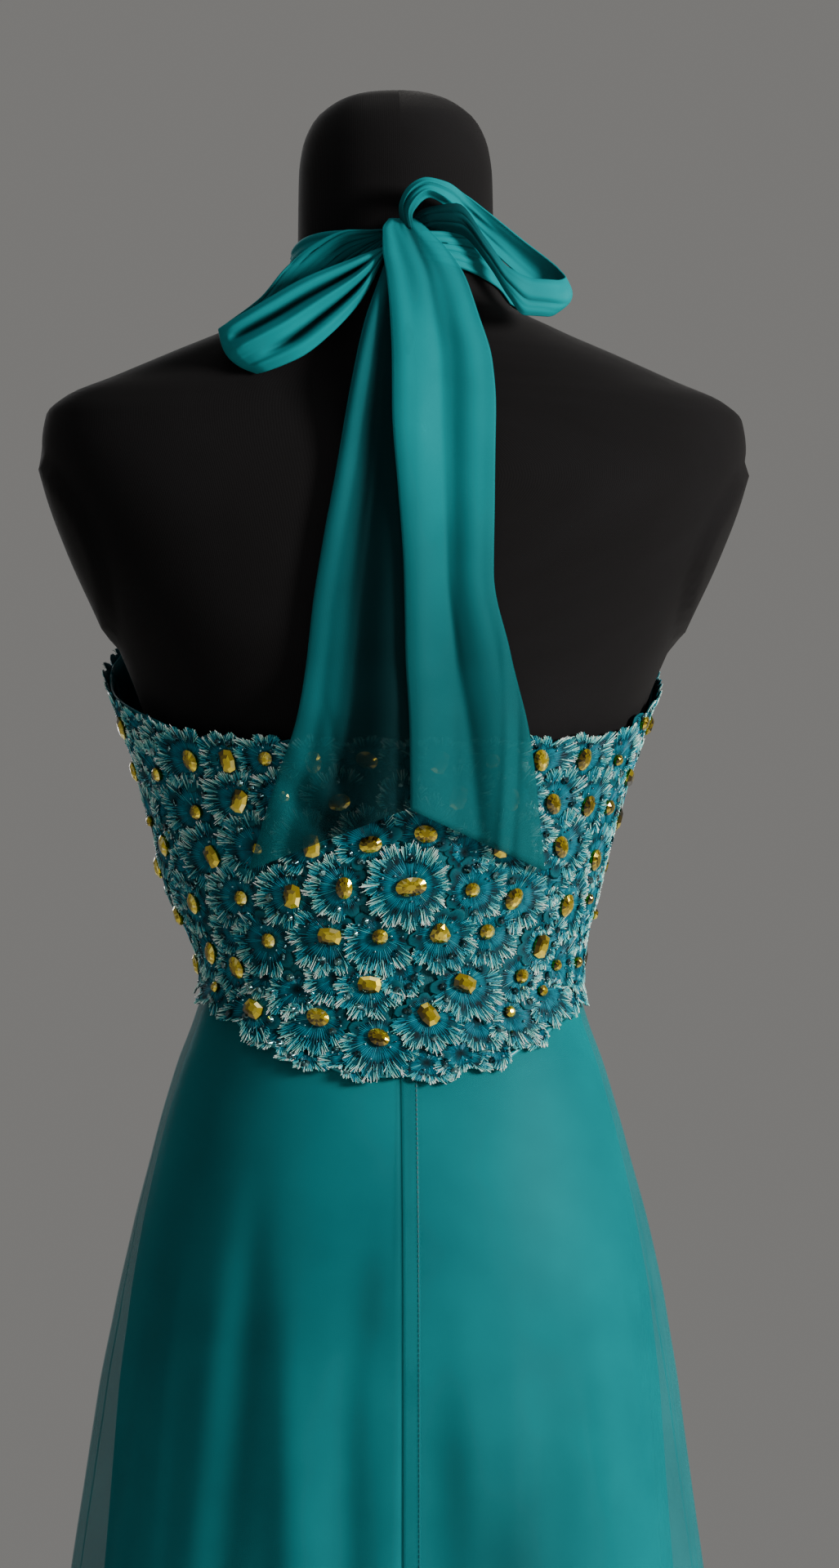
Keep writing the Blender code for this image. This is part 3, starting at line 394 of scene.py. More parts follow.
finishes = {
    "jersey": jerseyFinish(),
    "enamel": enamelFinish(),
    # Polyester satin: smooth face with a broad soft gloss; threads drawn 0.8 mm apart so that they show; its
    # last colour is its painted shade colour
    "satin": clothFinish("tealSatin", "#006C73", "#00858D", 0.8 * mm, 0.04 * mm, 9.0, "#00363A",
                         Roughness=0.5, Specular_IOR_Level=0.12, Anisotropic=0.3),
    # Each chiffon's last colour is its painted shade colour
    "chiffon": chiffonFinish("tealChiffon", "#007077", "#00858B", "#00363A", 0.36),
    "loopChiffon": chiffonFinish("gatheredTealChiffon", "#007A80", "#008E94", "#00262A", 0.9),
    "rightChiffon": chiffonFinish("doubledTealChiffon", "#00767C", "#00868C", "#00262A", 0.68),
    # The left end's chiffon is a darker, painted shade copy of the others
    "leftChiffon": chiffonFinish("shadedTealChiffon", "#005A60", "#006A70", "#001E21", 0.6),
    # Cotton tulle lined with satin, the ground of the lace: dark, with an open net of threads 1.3 mm apart
    "tulle": clothFinish("darkTealTulle", "#01464E", "#036872", 1.3 * mm, 0.12 * mm, 30.0, Roughness=0.6,
                         Specular_IOR_Level=0.2),
    # Bias-cut satin round a cord: tight and glossy; threads drawn 0.7 mm apart so that they show
    "piping": clothFinish("satinPiping", "#00747C", "#048F98", 0.7 * mm, 0.03 * mm, 40.0, Roughness=0.32),
    "fill": embroideryFill(),
    # Rayon embroidery thread: soft gloss along the strand, and tones from dark blue to silver mint
    "thread": tonedFinish("rayonEmbroideryThread", ((0.0, "#00323E"), (0.2, "#00708C"), (0.4, "#10A0B4"),
                                                    (0.6, "#6CC8BE"), (0.8, "#DCFCF0"), (1.0, "#FFFFFF")),
                          Roughness=0.38, Specular_IOR_Level=0.35),
    "crystal": crystalFinish(),
    "foil": foilFinish(),
    # Cup sequins: thin glossy film, dark teal with a pearl gloss that shows as a crescent
    "sequin": tonedFinish("pearlCupSequin", ((0.0, "#0C4450"), (1.0, "#8CC7C9")), Metallic=0.85,
                          Roughness=0.13, Coat_Weight=0.6),
    # Silver-lined glass seed beads in dark teal and ice blue
    "bead": tonedFinish("silverLinedSeedBead", ((0.0, "#053440"), (1.0, "#7FC4CF")), Metallic=0.35,
                        Roughness=0.1, Coat_Weight=0.8),
}
print("finishes:", len(finishes))


# Making meshes

def addPiece(name, mesh, finish, smooth=True):
    mesh.materials.append(finish)
    if smooth:
        mesh.shade_smooth()
    made = bpy.data.objects.new(name, mesh)
    home.objects.link(made)
    return made


def setMap(mesh, name, values):      # a UV map from one pair of numbers for each point
    layer = mesh.uv_layers.new(name=name)
    corners = np.zeros(len(mesh.loops), np.int32)
    mesh.loops.foreach_get("vertex_index", corners)
    layer.data.foreach_set("uv", np.asarray(values, np.float32)[corners].ravel())


def setAttribute(mesh, name, values):      # one number or one vector for each point
    values = np.asarray(values)
    kind = "FLOAT_VECTOR" if values.ndim == 2 else "INT" if values.dtype.kind == "i" else "FLOAT"
    made = mesh.attributes.new(name, kind, "POINT")
    made.data.foreach_set("vector" if kind == "FLOAT_VECTOR" else "value", values.ravel())


def clothMap(points):      # metres along each row and down the middle column
    across = np.linalg.norm(np.diff(points, axis=1), axis=-1)
    u = np.concatenate([np.zeros((len(points), 1)), np.cumsum(across, axis=1)], axis=1)
    u = u - u[:, -1:] / 2
    down = np.linalg.norm(np.diff(points[:, points.shape[1] // 2], axis=0), axis=-1)
    v = np.concatenate([[0], np.cumsum(down)])
    return np.stack([u, np.broadcast_to(v[:, None], u.shape)], axis=-1).reshape(-1, 2)


def clothSheet(name, points, thickness, finish, paintedShade=None):
    # Rows run from the top down and columns so that faces look out; the last argument paints shade into the
    # dye point by point
    rows, across = points.shape[:2]
    a = (np.arange(rows - 1)[:, None] * across + np.arange(across - 1)[None, :]).ravel()
    faces = np.stack([a, a + 1, a + across + 1, a + across], axis=1)
    mesh = bpy.data.meshes.new(name)
    mesh.from_pydata(points.reshape(-1, 3).tolist(), [], faces.tolist())
    setMap(mesh, "cloth", clothMap(points))
    if paintedShade is not None:
        setAttribute(mesh, "paintedShade", paintedShade.ravel())
    made = addPiece(name, mesh, finish)
    wall = made.modifiers.new("wall", "SOLIDIFY")
    wall.thickness = thickness
    wall.offset = 1
    return made


def meshFrom(name, work, turned=True):      # ends a bmesh as a mesh whose faces look out
    mesh = bpy.data.meshes.new(name)
    if turned:
        bmesh.ops.recalc_face_normals(work, faces=work.faces)
    work.to_mesh(mesh)
    work.free()
    return mesh


def turnedPiece(name, outline, steps, finish):      # outline from the axis at the top, down its side
    work = bmesh.new()
    ring = [[work.verts.new((r * math.cos(turn * k / steps), r * math.sin(turn * k / steps), z))
             for k in range(steps)] if r > 0 else [work.verts.new((0, 0, z))] for r, z in outline]
    for upper, lower in zip(ring, ring[1:]):
        for k in range(steps):
            n = (k + 1) % steps
            corners = [upper[k % len(upper)], lower[k % len(lower)], lower[n % len(lower)],
                       upper[n % len(upper)]]
            work.faces.new(list(dict.fromkeys(corners)))
    mesh = meshFrom(name, work)
    made = addPiece(name, mesh, finish)
    mesh.set_sharp_from_angle(angle=math.radians(40))
    return made


def settle(piece, slot, *nodes):      # the piece rides with the one body and stands for its nodes
    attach(piece, "root")
    if nodes:
        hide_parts(*nodes)
    return piece


def treeOf(made):
    bpy.context.view_layer.update()
    return BVHTree.FromObject(made, bpy.context.evaluated_depsgraph_get())


def keptOff(form, points, gap):      # points moved out where they are nearer to the form than the gap
    moved = points.copy()
    for index in np.ndindex(points.shape[:-1]):
        place, normal = form.find_nearest(Vector(points[index]))[:2]
        if (Vector(points[index]) - place).dot(normal) < gap:
            moved[index] = place + normal * gap
    return moved


# Node trees that repeat a shape

def newTree(name, sockets):
    tree = bpy.data.node_groups.new(name, "GeometryNodeTree")
    tree.interface.new_socket(name="Geometry", in_out="INPUT", socket_type="NodeSocketGeometry")
    for label, kind in sockets:
        tree.interface.new_socket(name=label, in_out="INPUT", socket_type="NodeSocket" + kind)
    tree.interface.new_socket(name="Geometry", in_out="OUTPUT", socket_type="NodeSocketGeometry")
    return tree, addNode(tree, "NodeGroupInput")


def endTree(tree, geometry, finish):      # every tree ends as plain geometry with its finish
    real = addNode(tree, "GeometryNodeRealizeInstances", links={"Geometry": geometry}).outputs[0]
    coloured = addNode(tree, "GeometryNodeSetMaterial", links={"Geometry": real, "Material": finish})
    addNode(tree, "NodeGroupOutput", links={"Geometry": coloured.outputs[0]})


def namedValues(tree, **kinds):      # the point attributes that a tree reads
    return {name: addNode(tree, "GeometryNodeInputNamedAttribute", {"Name": name}, data_type=kind).outputs[0]
            for name, kind in kinds.items()}


def makeSetOutTree():      # a shape of the collection on each point, turned and sized by its attributes
    tree, given = newTree("setOutShapes", (("Shapes", "Collection"), ("Size", "Float"),
                                           ("Finish", "Material")))
    at = namedValues(tree, turned="FLOAT_VECTOR", girth="FLOAT_VECTOR", shape="INT")
    shapes = addNode(tree, "GeometryNodeCollectionInfo", {"Separate Children": True, "Reset Children": True},
                     {"Collection": given.outputs["Shapes"]})
    turned = addNode(tree, "FunctionNodeEulerToRotation", links={0: at["turned"]})
    size = addNode(tree, "ShaderNodeVectorMath", links={0: at["girth"], "Scale": given.outputs["Size"]},
                   operation="SCALE")
    placed = addNode(tree, "GeometryNodeInstanceOnPoints", {"Pick Instance": True}, {
        "Points": given.outputs["Geometry"],
        "Instance": shapes.outputs[0],
        "Instance Index": at["shape"],
        "Rotation": turned.outputs[0],
        "Scale": size.outputs["Vector"],
    })
    endTree(tree, placed.outputs[0], given.outputs["Finish"])
    return tree


def makeThreadTree():      # each run of edges becomes a round thread, tapered by the girth attribute
    tree, given = newTree("laidThreads", (("Thickness", "Float"), ("Sides", "Int"), ("Finish", "Material")))
    at = namedValues(tree, girth="FLOAT")
    lines = addNode(tree, "GeometryNodeMeshToCurve", links={"Mesh": given.outputs["Geometry"]})
    girth = addNode(tree, "ShaderNodeMath", links={0: at["girth"], 1: given.outputs["Thickness"]},
                    operation="MULTIPLY")
    ring = addNode(tree, "GeometryNodeCurvePrimitiveCircle", {"Radius": 0.5},
                   {"Resolution": given.outputs["Sides"]})
    swept = addNode(tree, "GeometryNodeCurveToMesh", {"Fill Caps": True},
                    {"Curve": lines.outputs[0], "Profile Curve": ring.outputs[0], "Scale": girth.outputs[0]})
    smooth = addNode(tree, "GeometryNodeSetShadeSmooth", links={"Geometry": swept.outputs[0]})
    endTree(tree, smooth.outputs[0], given.outputs["Finish"])
    return tree


def makeStitchTree():      # short stitches at an even pitch along each run of edges
    tree, given = newTree("stitchRow", (("Pitch", "Float"), ("Length", "Float"), ("Thickness", "Float"),
                                        ("Finish", "Material")))
    lines = addNode(tree, "GeometryNodeMeshToCurve", links={"Mesh": given.outputs["Geometry"]})
    spots = addNode(tree, "GeometryNodeCurveToPoints",
                    links={"Curve": lines.outputs[0], "Length": given.outputs["Pitch"]}, mode="LENGTH")
    stitch = addNode(tree, "GeometryNodeMeshCylinder", {"Vertices": 5},
                     {"Radius": given.outputs["Thickness"], "Depth": given.outputs["Length"]})
    placed = addNode(tree, "GeometryNodeInstanceOnPoints", links={
        "Points": spots.outputs["Points"],
        "Instance": stitch.outputs["Mesh"],
        "Rotation": spots.outputs["Rotation"],
    })
    endTree(tree, placed.outputs[0], given.outputs["Finish"])
    return tree


trees = {"setOut": makeSetOutTree(), "threads": makeThreadTree(), "stitches": makeStitchTree()}


def grown(name, mesh, tree, values):      # runs a node tree on points or edges and keeps the result
    source = bpy.data.objects.new(name + "Source", mesh)
    home.objects.link(source)
    modifier = source.modifiers.new("grown", "NODES")
    modifier.node_group = tree
    for item in tree.interface.items_tree:
        if item.in_out == "INPUT" and item.name in values:
            modifier[item.identifier] = values[item.name]
    source.update_tag()
    bpy.context.view_layer.update()
    result = bpy.data.meshes.new_from_object(source.evaluated_get(bpy.context.evaluated_depsgraph_get()))
    source.modifiers.remove(modifier)
    bpy.data.objects.remove(source)
    result.name = name
    made = bpy.data.objects.new(name, result)
    home.objects.link(made)
    return made


def pointMesh(name, points, edges=(), **values):
    mesh = bpy.data.meshes.new(name)
    mesh.from_pydata(np.asarray(points, float).tolist(), [tuple(e) for e in edges], [])
    for key, given in values.items():
        setAttribute(mesh, key, given)
    return mesh


# The dress form and its stand

formSpec = {
    "around": 144,
    "topZ": 1.610,
    "bottomZ": 0.800,
    "crown": (0.012, 12),      # depth of the domed top and its rows
    # Rows of the neck, the shoulders and the trunk: from, to and how many
    "bands": ((1.596, 1.500, 22), (1.4975, 1.396, 38), (1.391, 0.800, 84)),
    "plateZ": 1.337,           # the flat plates where arms would be
    "plateHeight": 0.054,
    "plateDepth": 0.050,
    "plateOut": 4.5 * mm,
    "plateFromX": 0.14,
}


def makeForm(spec):
    depth, count = spec["crown"]
    crown = spec["topZ"] - depth * (np.arange(count) / count) ** 2
    levels = np.concatenate([crown] + [np.linspace(*band) for band in spec["bands"]])
    angles = np.arange(spec["around"]) * turn / spec["around"]
    t, z = angles[None, :], levels[:, None]
    plain = bodyPoint(t, z)
    off = np.hypot((z - spec["plateZ"]) / spec["plateHeight"], plain[..., 1] / spec["plateDepth"])
    plate = easedStep(1.04, 0.93, off) * (np.abs(plain[..., 0]) > spec["plateFromX"])
    points = offBody(t, z, spec["plateOut"] * plate)
    rows, around = points.shape[:2]
    i, j = np.meshgrid(np.arange(rows - 1), np.arange(around), indexing="ij")
    k = (j + 1) % around
    corners = ((i, j, j), (i, k, j + 1), (i + 1, k, j + 1), (i + 1, j, j))
    faces = np.stack([(row * around + column).ravel() for row, column, _ in corners], axis=1).tolist()
    faces.append(list(range(around))[::-1])
    faces.append([(rows - 1) * around + c for c in range(around)])
    mesh = bpy.data.meshes.new("dressForm")
    mesh.from_pydata(points.reshape(-1, 3).tolist(), [], faces)
    ringStep = np.linalg.norm(points - np.roll(points, -1, axis=1), axis=-1).mean(axis=1)
    layer = mesh.uv_layers.new(name="cloth")
    uv = np.stack([np.stack([(column * ringStep[row]).ravel(), levels[row].ravel()], axis=1)
                   for row, _, column in corners], axis=1).reshape(-1, 2)
    caps = np.concatenate([points[0][::-1, :2], points[-1][:, :2]])
    layer.data.foreach_set("uv", np.concatenate([uv, caps]).astype(np.float32).ravel())
    return settle(addPiece("dressForm", mesh, finishes["jersey"]), "black_jersey", "dress_form")


standSpec = {
    "baseRadius": 0.165,
    "baseThickness": 14 * mm,
    "rimRound": 6 * mm,
    "rimFall": 2 * mm,         # the top slopes down this far from the collar to the rim
    "footChamfer": 1 * mm,
    "collarRadius": 28 * mm,
    "collarTop": 0.060,
    "groove": 1.5 * mm,        # a turned groove round the collar's foot
    "poleRadius": 14 * mm,
    "gap": 0.3 * mm,
    "sides": {"standBase": 128, "standCollar": 64, "standPole": 48},
}


def makeStand(spec):
    r, h, rim = spec["baseRadius"], spec["baseThickness"], spec["rimRound"]
    base = [(0, h), (spec["collarRadius"] + 4 * mm, h)]
    base += [(r - rim + rim * math.sin(a), h - spec["rimFall"] - rim + rim * math.cos(a))
             for a in np.linspace(0, math.pi / 2, 7)]
    base += [(r, spec["footChamfer"]), (r - spec["footChamfer"], 0), (0, 0)]
    r, top, foot, groove = spec["collarRadius"], spec["collarTop"], h + spec["gap"], spec["groove"]
    collar = [(0, top), (r - 4 * mm, top), (r - 1.2 * mm, top - 1.0 * mm), (r, top - 3.5 * mm),
              (r, foot + 6 * mm), (r - groove, foot + 5 * mm), (r - groove, foot + 3.5 * mm),
              (r, foot + 2.5 * mm), (r, foot), (0, foot)]
    r, low, high = spec["poleRadius"], top + spec["gap"], formSpec["bottomZ"] - spec["gap"]
    pole = [(0, high), (r, high), (r, low), (0, low)]
    for name, node, outline in (("standBase", "stand_base", base), ("standCollar", "stand_collar", collar),
                                ("standPole", "stand_pole", pole)):
        piece = turnedPiece(name, outline, spec["sides"][name], finishes["enamel"])
        settle(piece, "stand_black_enamel", node)


makeForm(formSpec)
makeStand(standSpec)
print("form and stand: done")


# The skirts: sheer chiffon over a satin underskirt

skirtSpec = {
    "topZ": 1.078,
    "hemZ": 0.012,
    "satinHemZ": 0.030,
    "sideSeam": math.radians(97),
    "seamGap": 3.5e-6,         # radians, so that the panels' edges meet without sharing their points
    "hipZ": 0.740,             # close rows down to here, then wider ones to the hem
    "hipRows": 58,
    "lowRows": {"chiffon": 26, "satin": 20},
    "columnsPerDegree": {"front": 0.8, "back_left": 1.4, "back_right": 1.4},
    "chiffonOut": 3.1 * mm,
    "chiffonWall": 0.5 * mm,
    "satinOut": 1.4 * mm,
    "satinWall": 0.7 * mm,
}
# Main folds, as the frame has them: the ridge's angle, half its width in degrees, its height at the hem and
# the level where it starts
mainFolds = (
    (16, 8, 0.021, 0.93),
    (37, 7, 0.027, 0.96),
    (58, 8, 0.022, 0.90),
    (79, 7, 0.026, 0.97),
    (103, 9, 0.022, 0.92),
    (127, 8, 0.026, 0.95),
    (150, 9, 0.021, 0.90),
    (175, 8, 0.025, 0.94),
    (198, 8, 0.020, 0.91),
    (222, 9, 0.026, 0.95),
    (247, 8, 0.023, 0.93),
    (271, 7, 0.026, 0.96),
    (291, 7, 0.023, 0.93),
    (313, 8, 0.027, 0.97),
    (336, 9, 0.022, 0.92),
)
# Softer folds between them: angle, half width in degrees, height in mm at its deepest, level of its start
softFolds = (
    (-9, 4, 2.6, 0.93),
    (7, 4, -5.0, 0.93),
    (-27, 6, -5.5, 0.92),
    (21, 4, 3.4, 0.95),
    (-44, 5, 3.0, 0.97),
    (35, 5, -5.0, 1.00),
    (-61, 4, 2.0, 1.00),
    (52, 5, 3.0, 0.99),
    (-70, 1.3, 2.4, 1.03),
    (67, 4, -2.6, 0.97),
    (-76, 1.6, 1.8, 0.99),
    (84, 3, 2.4, 0.97),
    (98, 4, -2.2, 1.01),
    (-82, 4, 3.0, 1.03),
    (116, 4, 2.4, 0.97),
    (-101, 4, 2.6, 0.98),
    (139, 5, 2.6, 1.00),
    (-122, 4, -2.2, 1.01),
    (163, 4, 2.4, 0.99),
    (-146, 5, 2.8, 1.02),
    (-170, 4, 2.0, 0.98),
)
# Drag lines under the bodice: angle, level, half length in degrees, half width in mm, tilt, height in mm
dragLines = (
    (-37, 1.040, 11, 3.2, 0.12, 1.1),
    (-41, 1.031, 9, 2.6, 0.18, -0.9),
    (-34, 1.021, 12, 3.4, 0.14, 1.0),
    (-42, 1.010, 10, 3.2, 0.20, -0.7),
    (36, 1.034, 9, 4.0, -0.22, 0.7),
    (44, 1.020, 9, 4.0, -0.30, -0.5),
    (120, 1.040, 12, 4.0, -0.10, 0.6),
    (-128, 1.036, 12, 4.0, 0.12, 0.6),
    (172, 1.018, 10, 4.0, 0.08, 0.5),
)
# Patches of painted shade on the skirt: angle, level, half widths, share of the painted shade colour
paintedShadePatches = (
    (-9, 0.815, 5, 0.050, 0.36),
    (-18, 0.760, 10, 0.050, 0.52),
    (5, 0.905, 3.5, 0.032, 0.42),
    (54, 0.930, 13, 0.200, 0.34),
    (96, 0.860, 12, 0.120, 0.25),
    (170, 0.840, 10, 0.100, 0.25),
    (-120, 0.850, 10, 0.110, 0.25),
)


def mainOut(t, z, spec=skirtSpec):
    out = np.zeros(np.broadcast(t, z).shape)
    for degrees, spread, height, start in mainFolds:
        grown = np.clip((start - z) / (start - spec["hemZ"]), 0, 1) ** 1.2
        out = out + height * grown * bump(degreesFrom(t, degrees), 0, spread)
    return out


def softOut(t, z):
    out = np.zeros(np.broadcast(t, z).shape)
    for degrees, spread, height, start in softFolds:
        grown = easedStep(start, start - 0.15, z) * (1 - 0.6 * easedStep(0.75, 0.45, z))
        sway = 2.5 * np.sin(9 * (start - z) + degrees)
        out = out + height * mm * grown * bump(degreesFrom(t, degrees + sway), 0, spread)
    return out


def foldedOut(t, z):
    out = mainOut(t, z) + softOut(t, z)
    for degrees, height, length, width, tilt, rise in dragLines:
        away = degreesFrom(t, degrees)
        line = bump(z - height + tilt * away * 2 * mm, 0, width * mm)
        out = out + rise * mm * bump(away, 0, length) * line
    return out


# Painted shade on the skirt: darker in the soft folds' hollows and over the patches above
def paintedShadeAt(t, z):
    made = 0.16 * np.clip(-softOut(t, z) / (4 * mm), 0, 1)
    for degrees, height, wide, tall, share in paintedShadePatches:
        made = made + share * bump(degreesFrom(t, degrees), 0, wide) * bump(z, height, tall)
    return np.clip(made, 0, 0.8)


def chiffonPoint(t, z, out=0.0):
    return offBody(t, z, skirtSpec["chiffonOut"] + out + foldedOut(t, z), chiffonEase)


def satinPoint(t, z):
    soft = 0.10 * mainOut(t, z) + 0.6 * softOut(t, z)
    return offBody(t, z, skirtSpec["satinOut"] + soft * easedStep(1.0, 0.88, z), satinEase)


def makeSkirts(spec):
    other = turn - spec["sideSeam"]
    panels = (("BackLeft", "back_left", 0, spec["sideSeam"]), ("Front", "front", spec["sideSeam"], other),
              ("BackRight", "back_right", other, turn))
    hip = np.linspace(spec["topZ"], spec["hipZ"], spec["hipRows"])
    below = spec["hipZ"] - 0.010
    for label, node, start, end in panels:
        angles = np.linspace(start + spec["seamGap"], end - spec["seamGap"],
                             round(math.degrees(end - start) * spec["columnsPerDegree"][node]))[None, :]
        low = np.linspace(below, spec["hemZ"], spec["lowRows"]["chiffon"])
        levels = np.concatenate([hip, low])[:, None]
        points = chiffonPoint(angles, levels)
        piece = clothSheet("chiffonSkirt" + label, points, spec["chiffonWall"], finishes["chiffon"],
                           paintedShadeAt(angles, levels))
        settle(piece, "teal_chiffon", "skirt_" + node)
        angles = angles[:, ::2]
        low = np.linspace(below, spec["satinHemZ"], spec["lowRows"]["satin"])
        levels = np.concatenate([hip[::2], low])[:, None]
        points = satinPoint(angles, levels)
        piece = clothSheet("satinUnderskirt" + label, points, spec["satinWall"], finishes["satin"],
                           paintedShadeAt(angles, levels))
        settle(piece, "teal_satin", "underskirt_" + node)


lapSpec = {
    "width": 11 * mm,
    "from": 0.002,             # radians to the right of the back seam
    "topZ": 1.046,
    "over": 0.28 * mm,         # the lap lies this far off the chiffon's outer side
    "edge": 0.25 * mm,         # and its folded edge a little further
    "wall": 0.3 * mm,
    "rows": 130,
    "columns": 7,
    "stitchIn": 1.2 * mm,      # from the lap's free edge
    "stitchPitch": 2.8 * mm,
    "stitchLength": 1.8 * mm,
    "stitchThickness": 0.28 * mm,
}


def makeLap(spec):
    levels = np.linspace(spec["topZ"], skirtSpec["hemZ"], spec["rows"])
    pitch = np.linalg.norm(chiffonPoint(0.01, levels) - chiffonPoint(-0.01, levels), axis=-1) / 0.02
    across = np.linspace(-1, 0, spec["columns"])[None, :]
    angles = across * spec["width"] / pitch[:, None] - spec["from"]
    seat = skirtSpec["chiffonWall"] + spec["over"]
    edge = spec["edge"] * easedStep(0.7, 1.0, 1 + across)
    points = chiffonPoint(angles, levels[:, None], seat + edge)
    lap = clothSheet("backSeamLap", points, spec["wall"], finishes["chiffon"],
                     paintedShadeAt(angles, levels[:, None]))
    settle(lap, "teal_chiffon", "back_lap")
    line = chiffonPoint(-(spec["width"] - spec["stitchIn"]) / pitch - spec["from"], levels,
                        seat + spec["wall"] + 0.1 * mm)
    mesh = pointMesh("lapLine", line, [(k, k + 1) for k in range(len(line) - 1)])
    stitches = grown("backSeamStitches", mesh, trees["stitches"], {
        "Pitch": spec["stitchPitch"],
        "Length": spec["stitchLength"],
        "Thickness": spec["stitchThickness"],
        "Finish": finishes["thread"],
    })
    settle(stitches, "teal_chiffon")


makeSkirts(skirtSpec)
makeLap(lapSpec)
print("skirts: done")


# The bodice: lined tulle under overlapping embroidered fans, each with a stone at its root

bodiceSpec = {
    "out": 1.7 * mm,           # the ground's inner side, off the form
    "ground": 1.1 * mm,
    "overSkirt": 0.6 * mm,
    "frameChiffonOut": 4.0 * mm,
    "columns": 21,             # flowers round the body in each row
    "lowerScallop": 7.5 * mm,
    "upperScallop": 4.5 * mm,
    "upperLobes": 30,
    "strapRoot": (152, 169),   # degrees between which the upper edge runs plain under a strap
    "looseDegrees": 98,        # the bodice stands off the form on the wearer's left
    "looseSpread": 42,
    "looseHeight": 11 * mm,
    "looseFrom": (1.085, 1.150),
    "overHips": (1.106, 1.084),      # below this the lace lies over the chiffon
    "rows": 12,
    "rowPitch": 28 * mm,
    "firstRow": 16 * mm,
    "topMargin": 9 * mm,
    "nearest": 21 * mm,
    "backSpan": 62,            # degrees from the centre back that the table of flowers covers
    "groundRows": 40,
    "groundColumns": 7,        # for each flower
    "seamGap": 0.0016,         # radians
}
# Panels: label, node, the first and the last of the flower columns that they run between
bodicePanels = (
    ("BackLeft", "bodice_back_left", 0, 6),
    ("Front", "bodice_front", 6, 15),
    ("BackRight", "bodice_back_right", 15, 21),
)
edgeColumns = ("degrees", "lower", "upper")
bodiceEdges = (
    (0, 1.034, 1.219),
    (14, 1.037, 1.219),
    (36, 1.050, 1.221),
    (52, 1.064, 1.225),
    (72, 1.075, 1.238),
    (90, 1.080, 1.254),
    (105, 1.080, 1.270),
    (120, 1.074, 1.280),
    (135, 1.064, 1.292),
    (148, 1.054, 1.316),
    (160, 1.047, 1.327),
    (170, 1.043, 1.280),
    (180, 1.042, 1.226),
)
openingColumns = ("z", "degrees")
backOpening = (
    (1.020, 0),
    (1.031, 0),
    (1.045, -1.6),
    (1.062, 2.3),
    (1.080, -4.0),
    (1.108, -2.7),
    (1.124, 6.2),
    (1.139, 7.1),
    (1.155, 3.2),
    (1.168, 0),
    (1.230, 0),
)
# The stones' cuts: half width, half length, corners, roundness, height
stoneCuts = {
    "round": (4.4, 4.4, 12, 2.0, 2.0),
    "small": (3.3, 3.3, 10, 2.0, 1.7),
    "oval": (4.9, 6.6, 14, 2.0, 2.1),
    "octagon": (5.0, 6.9, 8, 3.4, 2.0),
    "trillion": (6.0, 6.0, 9, 1.0, 2.1),
    "navette": (5.4, 8.8, 16, 2.2, 2.3),
}
# Flowers of the back as they lie: angle, millimetres above the waist, cut of the stone, its turn in degrees
backFlowers = (
    (92, 130, "oval", 0), (70, 127, "round", 0), (54, 134, "oval", 20), (42, 133, "octagon", 10),
    (31, 134, "round", 0), (19, 132, "oval", 0), (7, 133, "oval", 70), (-7, 132, "octagon", -18),
    (-19, 133, "round", 0), (-32, 134, "oval", 14), (-46, 135, "oval", -10), (-62, 135, "small", 0),
    (-74, 157, "round", 0), (57, 104, "round", 0), (41, 110, "octagon", -25), (28, 112, "small", 0),
    (14, 109, "oval", -75), (-12, 112, "octagon", -12), (-26, 111, "oval", 10), (-39, 109, "oval", 30),
    (-53, 108, "oval", -8), (-66, 107, "round", 0), (77, 85, "oval", 5), (54, 78, "octagon", 30),
    (38, 82, "small", 0), (22, 84, "octagon", 4), (7, 85, "oval", -80), (-5, 91, "oval", 78),
    (-25, 84, "octagon", -10), (-45, 84, "oval", 25), (-65, 76, "oval", 8), (68, 51, "oval", 12),
    (46, 54, "round", 0), (29, 55, "octagon", -6), (14, 60, "oval", 0), (-2, 61, "navette", 98),
    (-18, 59, "round", 0), (-31, 54, "oval", -28), (-53, 50, "oval", -6), (-68, 53, "small", 0),
    (68, 21, "oval", -14), (39, 29, "round", 0), (19, 32, "octagon", 84), (5, 32, "round", 0),
    (-10, 34, "trillion", 0), (-24, 35, "round", 0), (-45, 26, "octagon", -12), (90, 13, "oval", 10),
    (54, 13, "oval", 24), (8, 4, "octagon", 86), (-18, 5, "octagon", 66), (-38, 9, "round", 0),
    (-54, 15, "small", 0), (44, -14, "octagon", 62), (22, -17, "oval", 70), (5, -29, "oval", 62),
    (-7, -15, "octagon", 40), (-32, -14, "small", 0), (-70, 16, "small", 0), (-47, -2, "small", 0),
    (67, -2, "small", 0),
)


def bodiceEdge(name, t):
    degrees = np.degrees(np.abs(radiansFrom(np.asarray(t, float), 0)))
    return readTable(bodiceEdges, edgeColumns, "degrees", name, degrees)


def scalloped(name, t, spec=bodiceSpec):
    t = np.asarray(t, float)
    if name == "lower":
        return bodiceEdge(name, t) - spec["lowerScallop"] * np.abs(np.sin(t * spec["columns"] / 2)) ** 0.7
    degrees = np.degrees(np.abs(radiansFrom(t, 0)))
    root, tip = spec["strapRoot"]
    plain = easedStep(root - 6, root - 1, degrees) * (1 - easedStep(tip + 1, tip + 6, degrees))
    lobe = np.abs(np.sin(t * spec["upperLobes"] / 2)) ** 0.7
    return bodiceEdge(name, t) + spec["upperScallop"] * lobe * (1 - plain)


def seamAngle(flower, z, spec=bodiceSpec):      # the seams weave between the flowers
    pitch = turn / spec["columns"]
    if flower in (0, spec["columns"]):
        return flower * pitch + np.radians(readTable(backOpening, openingColumns, "z", "degrees", z))
    row = (z - bodiceEdge("lower", flower * pitch) - spec["firstRow"]) / spec["rowPitch"]
    return flower * pitch - pitch / 4 * (1 - np.cos(math.pi * row))


def stretchAt(t, z):      # metres round the body for each radian
    return np.linalg.norm(bodyPoint(t + 0.01, z) - bodyPoint(t - 0.01, z), axis=-1) / 0.02


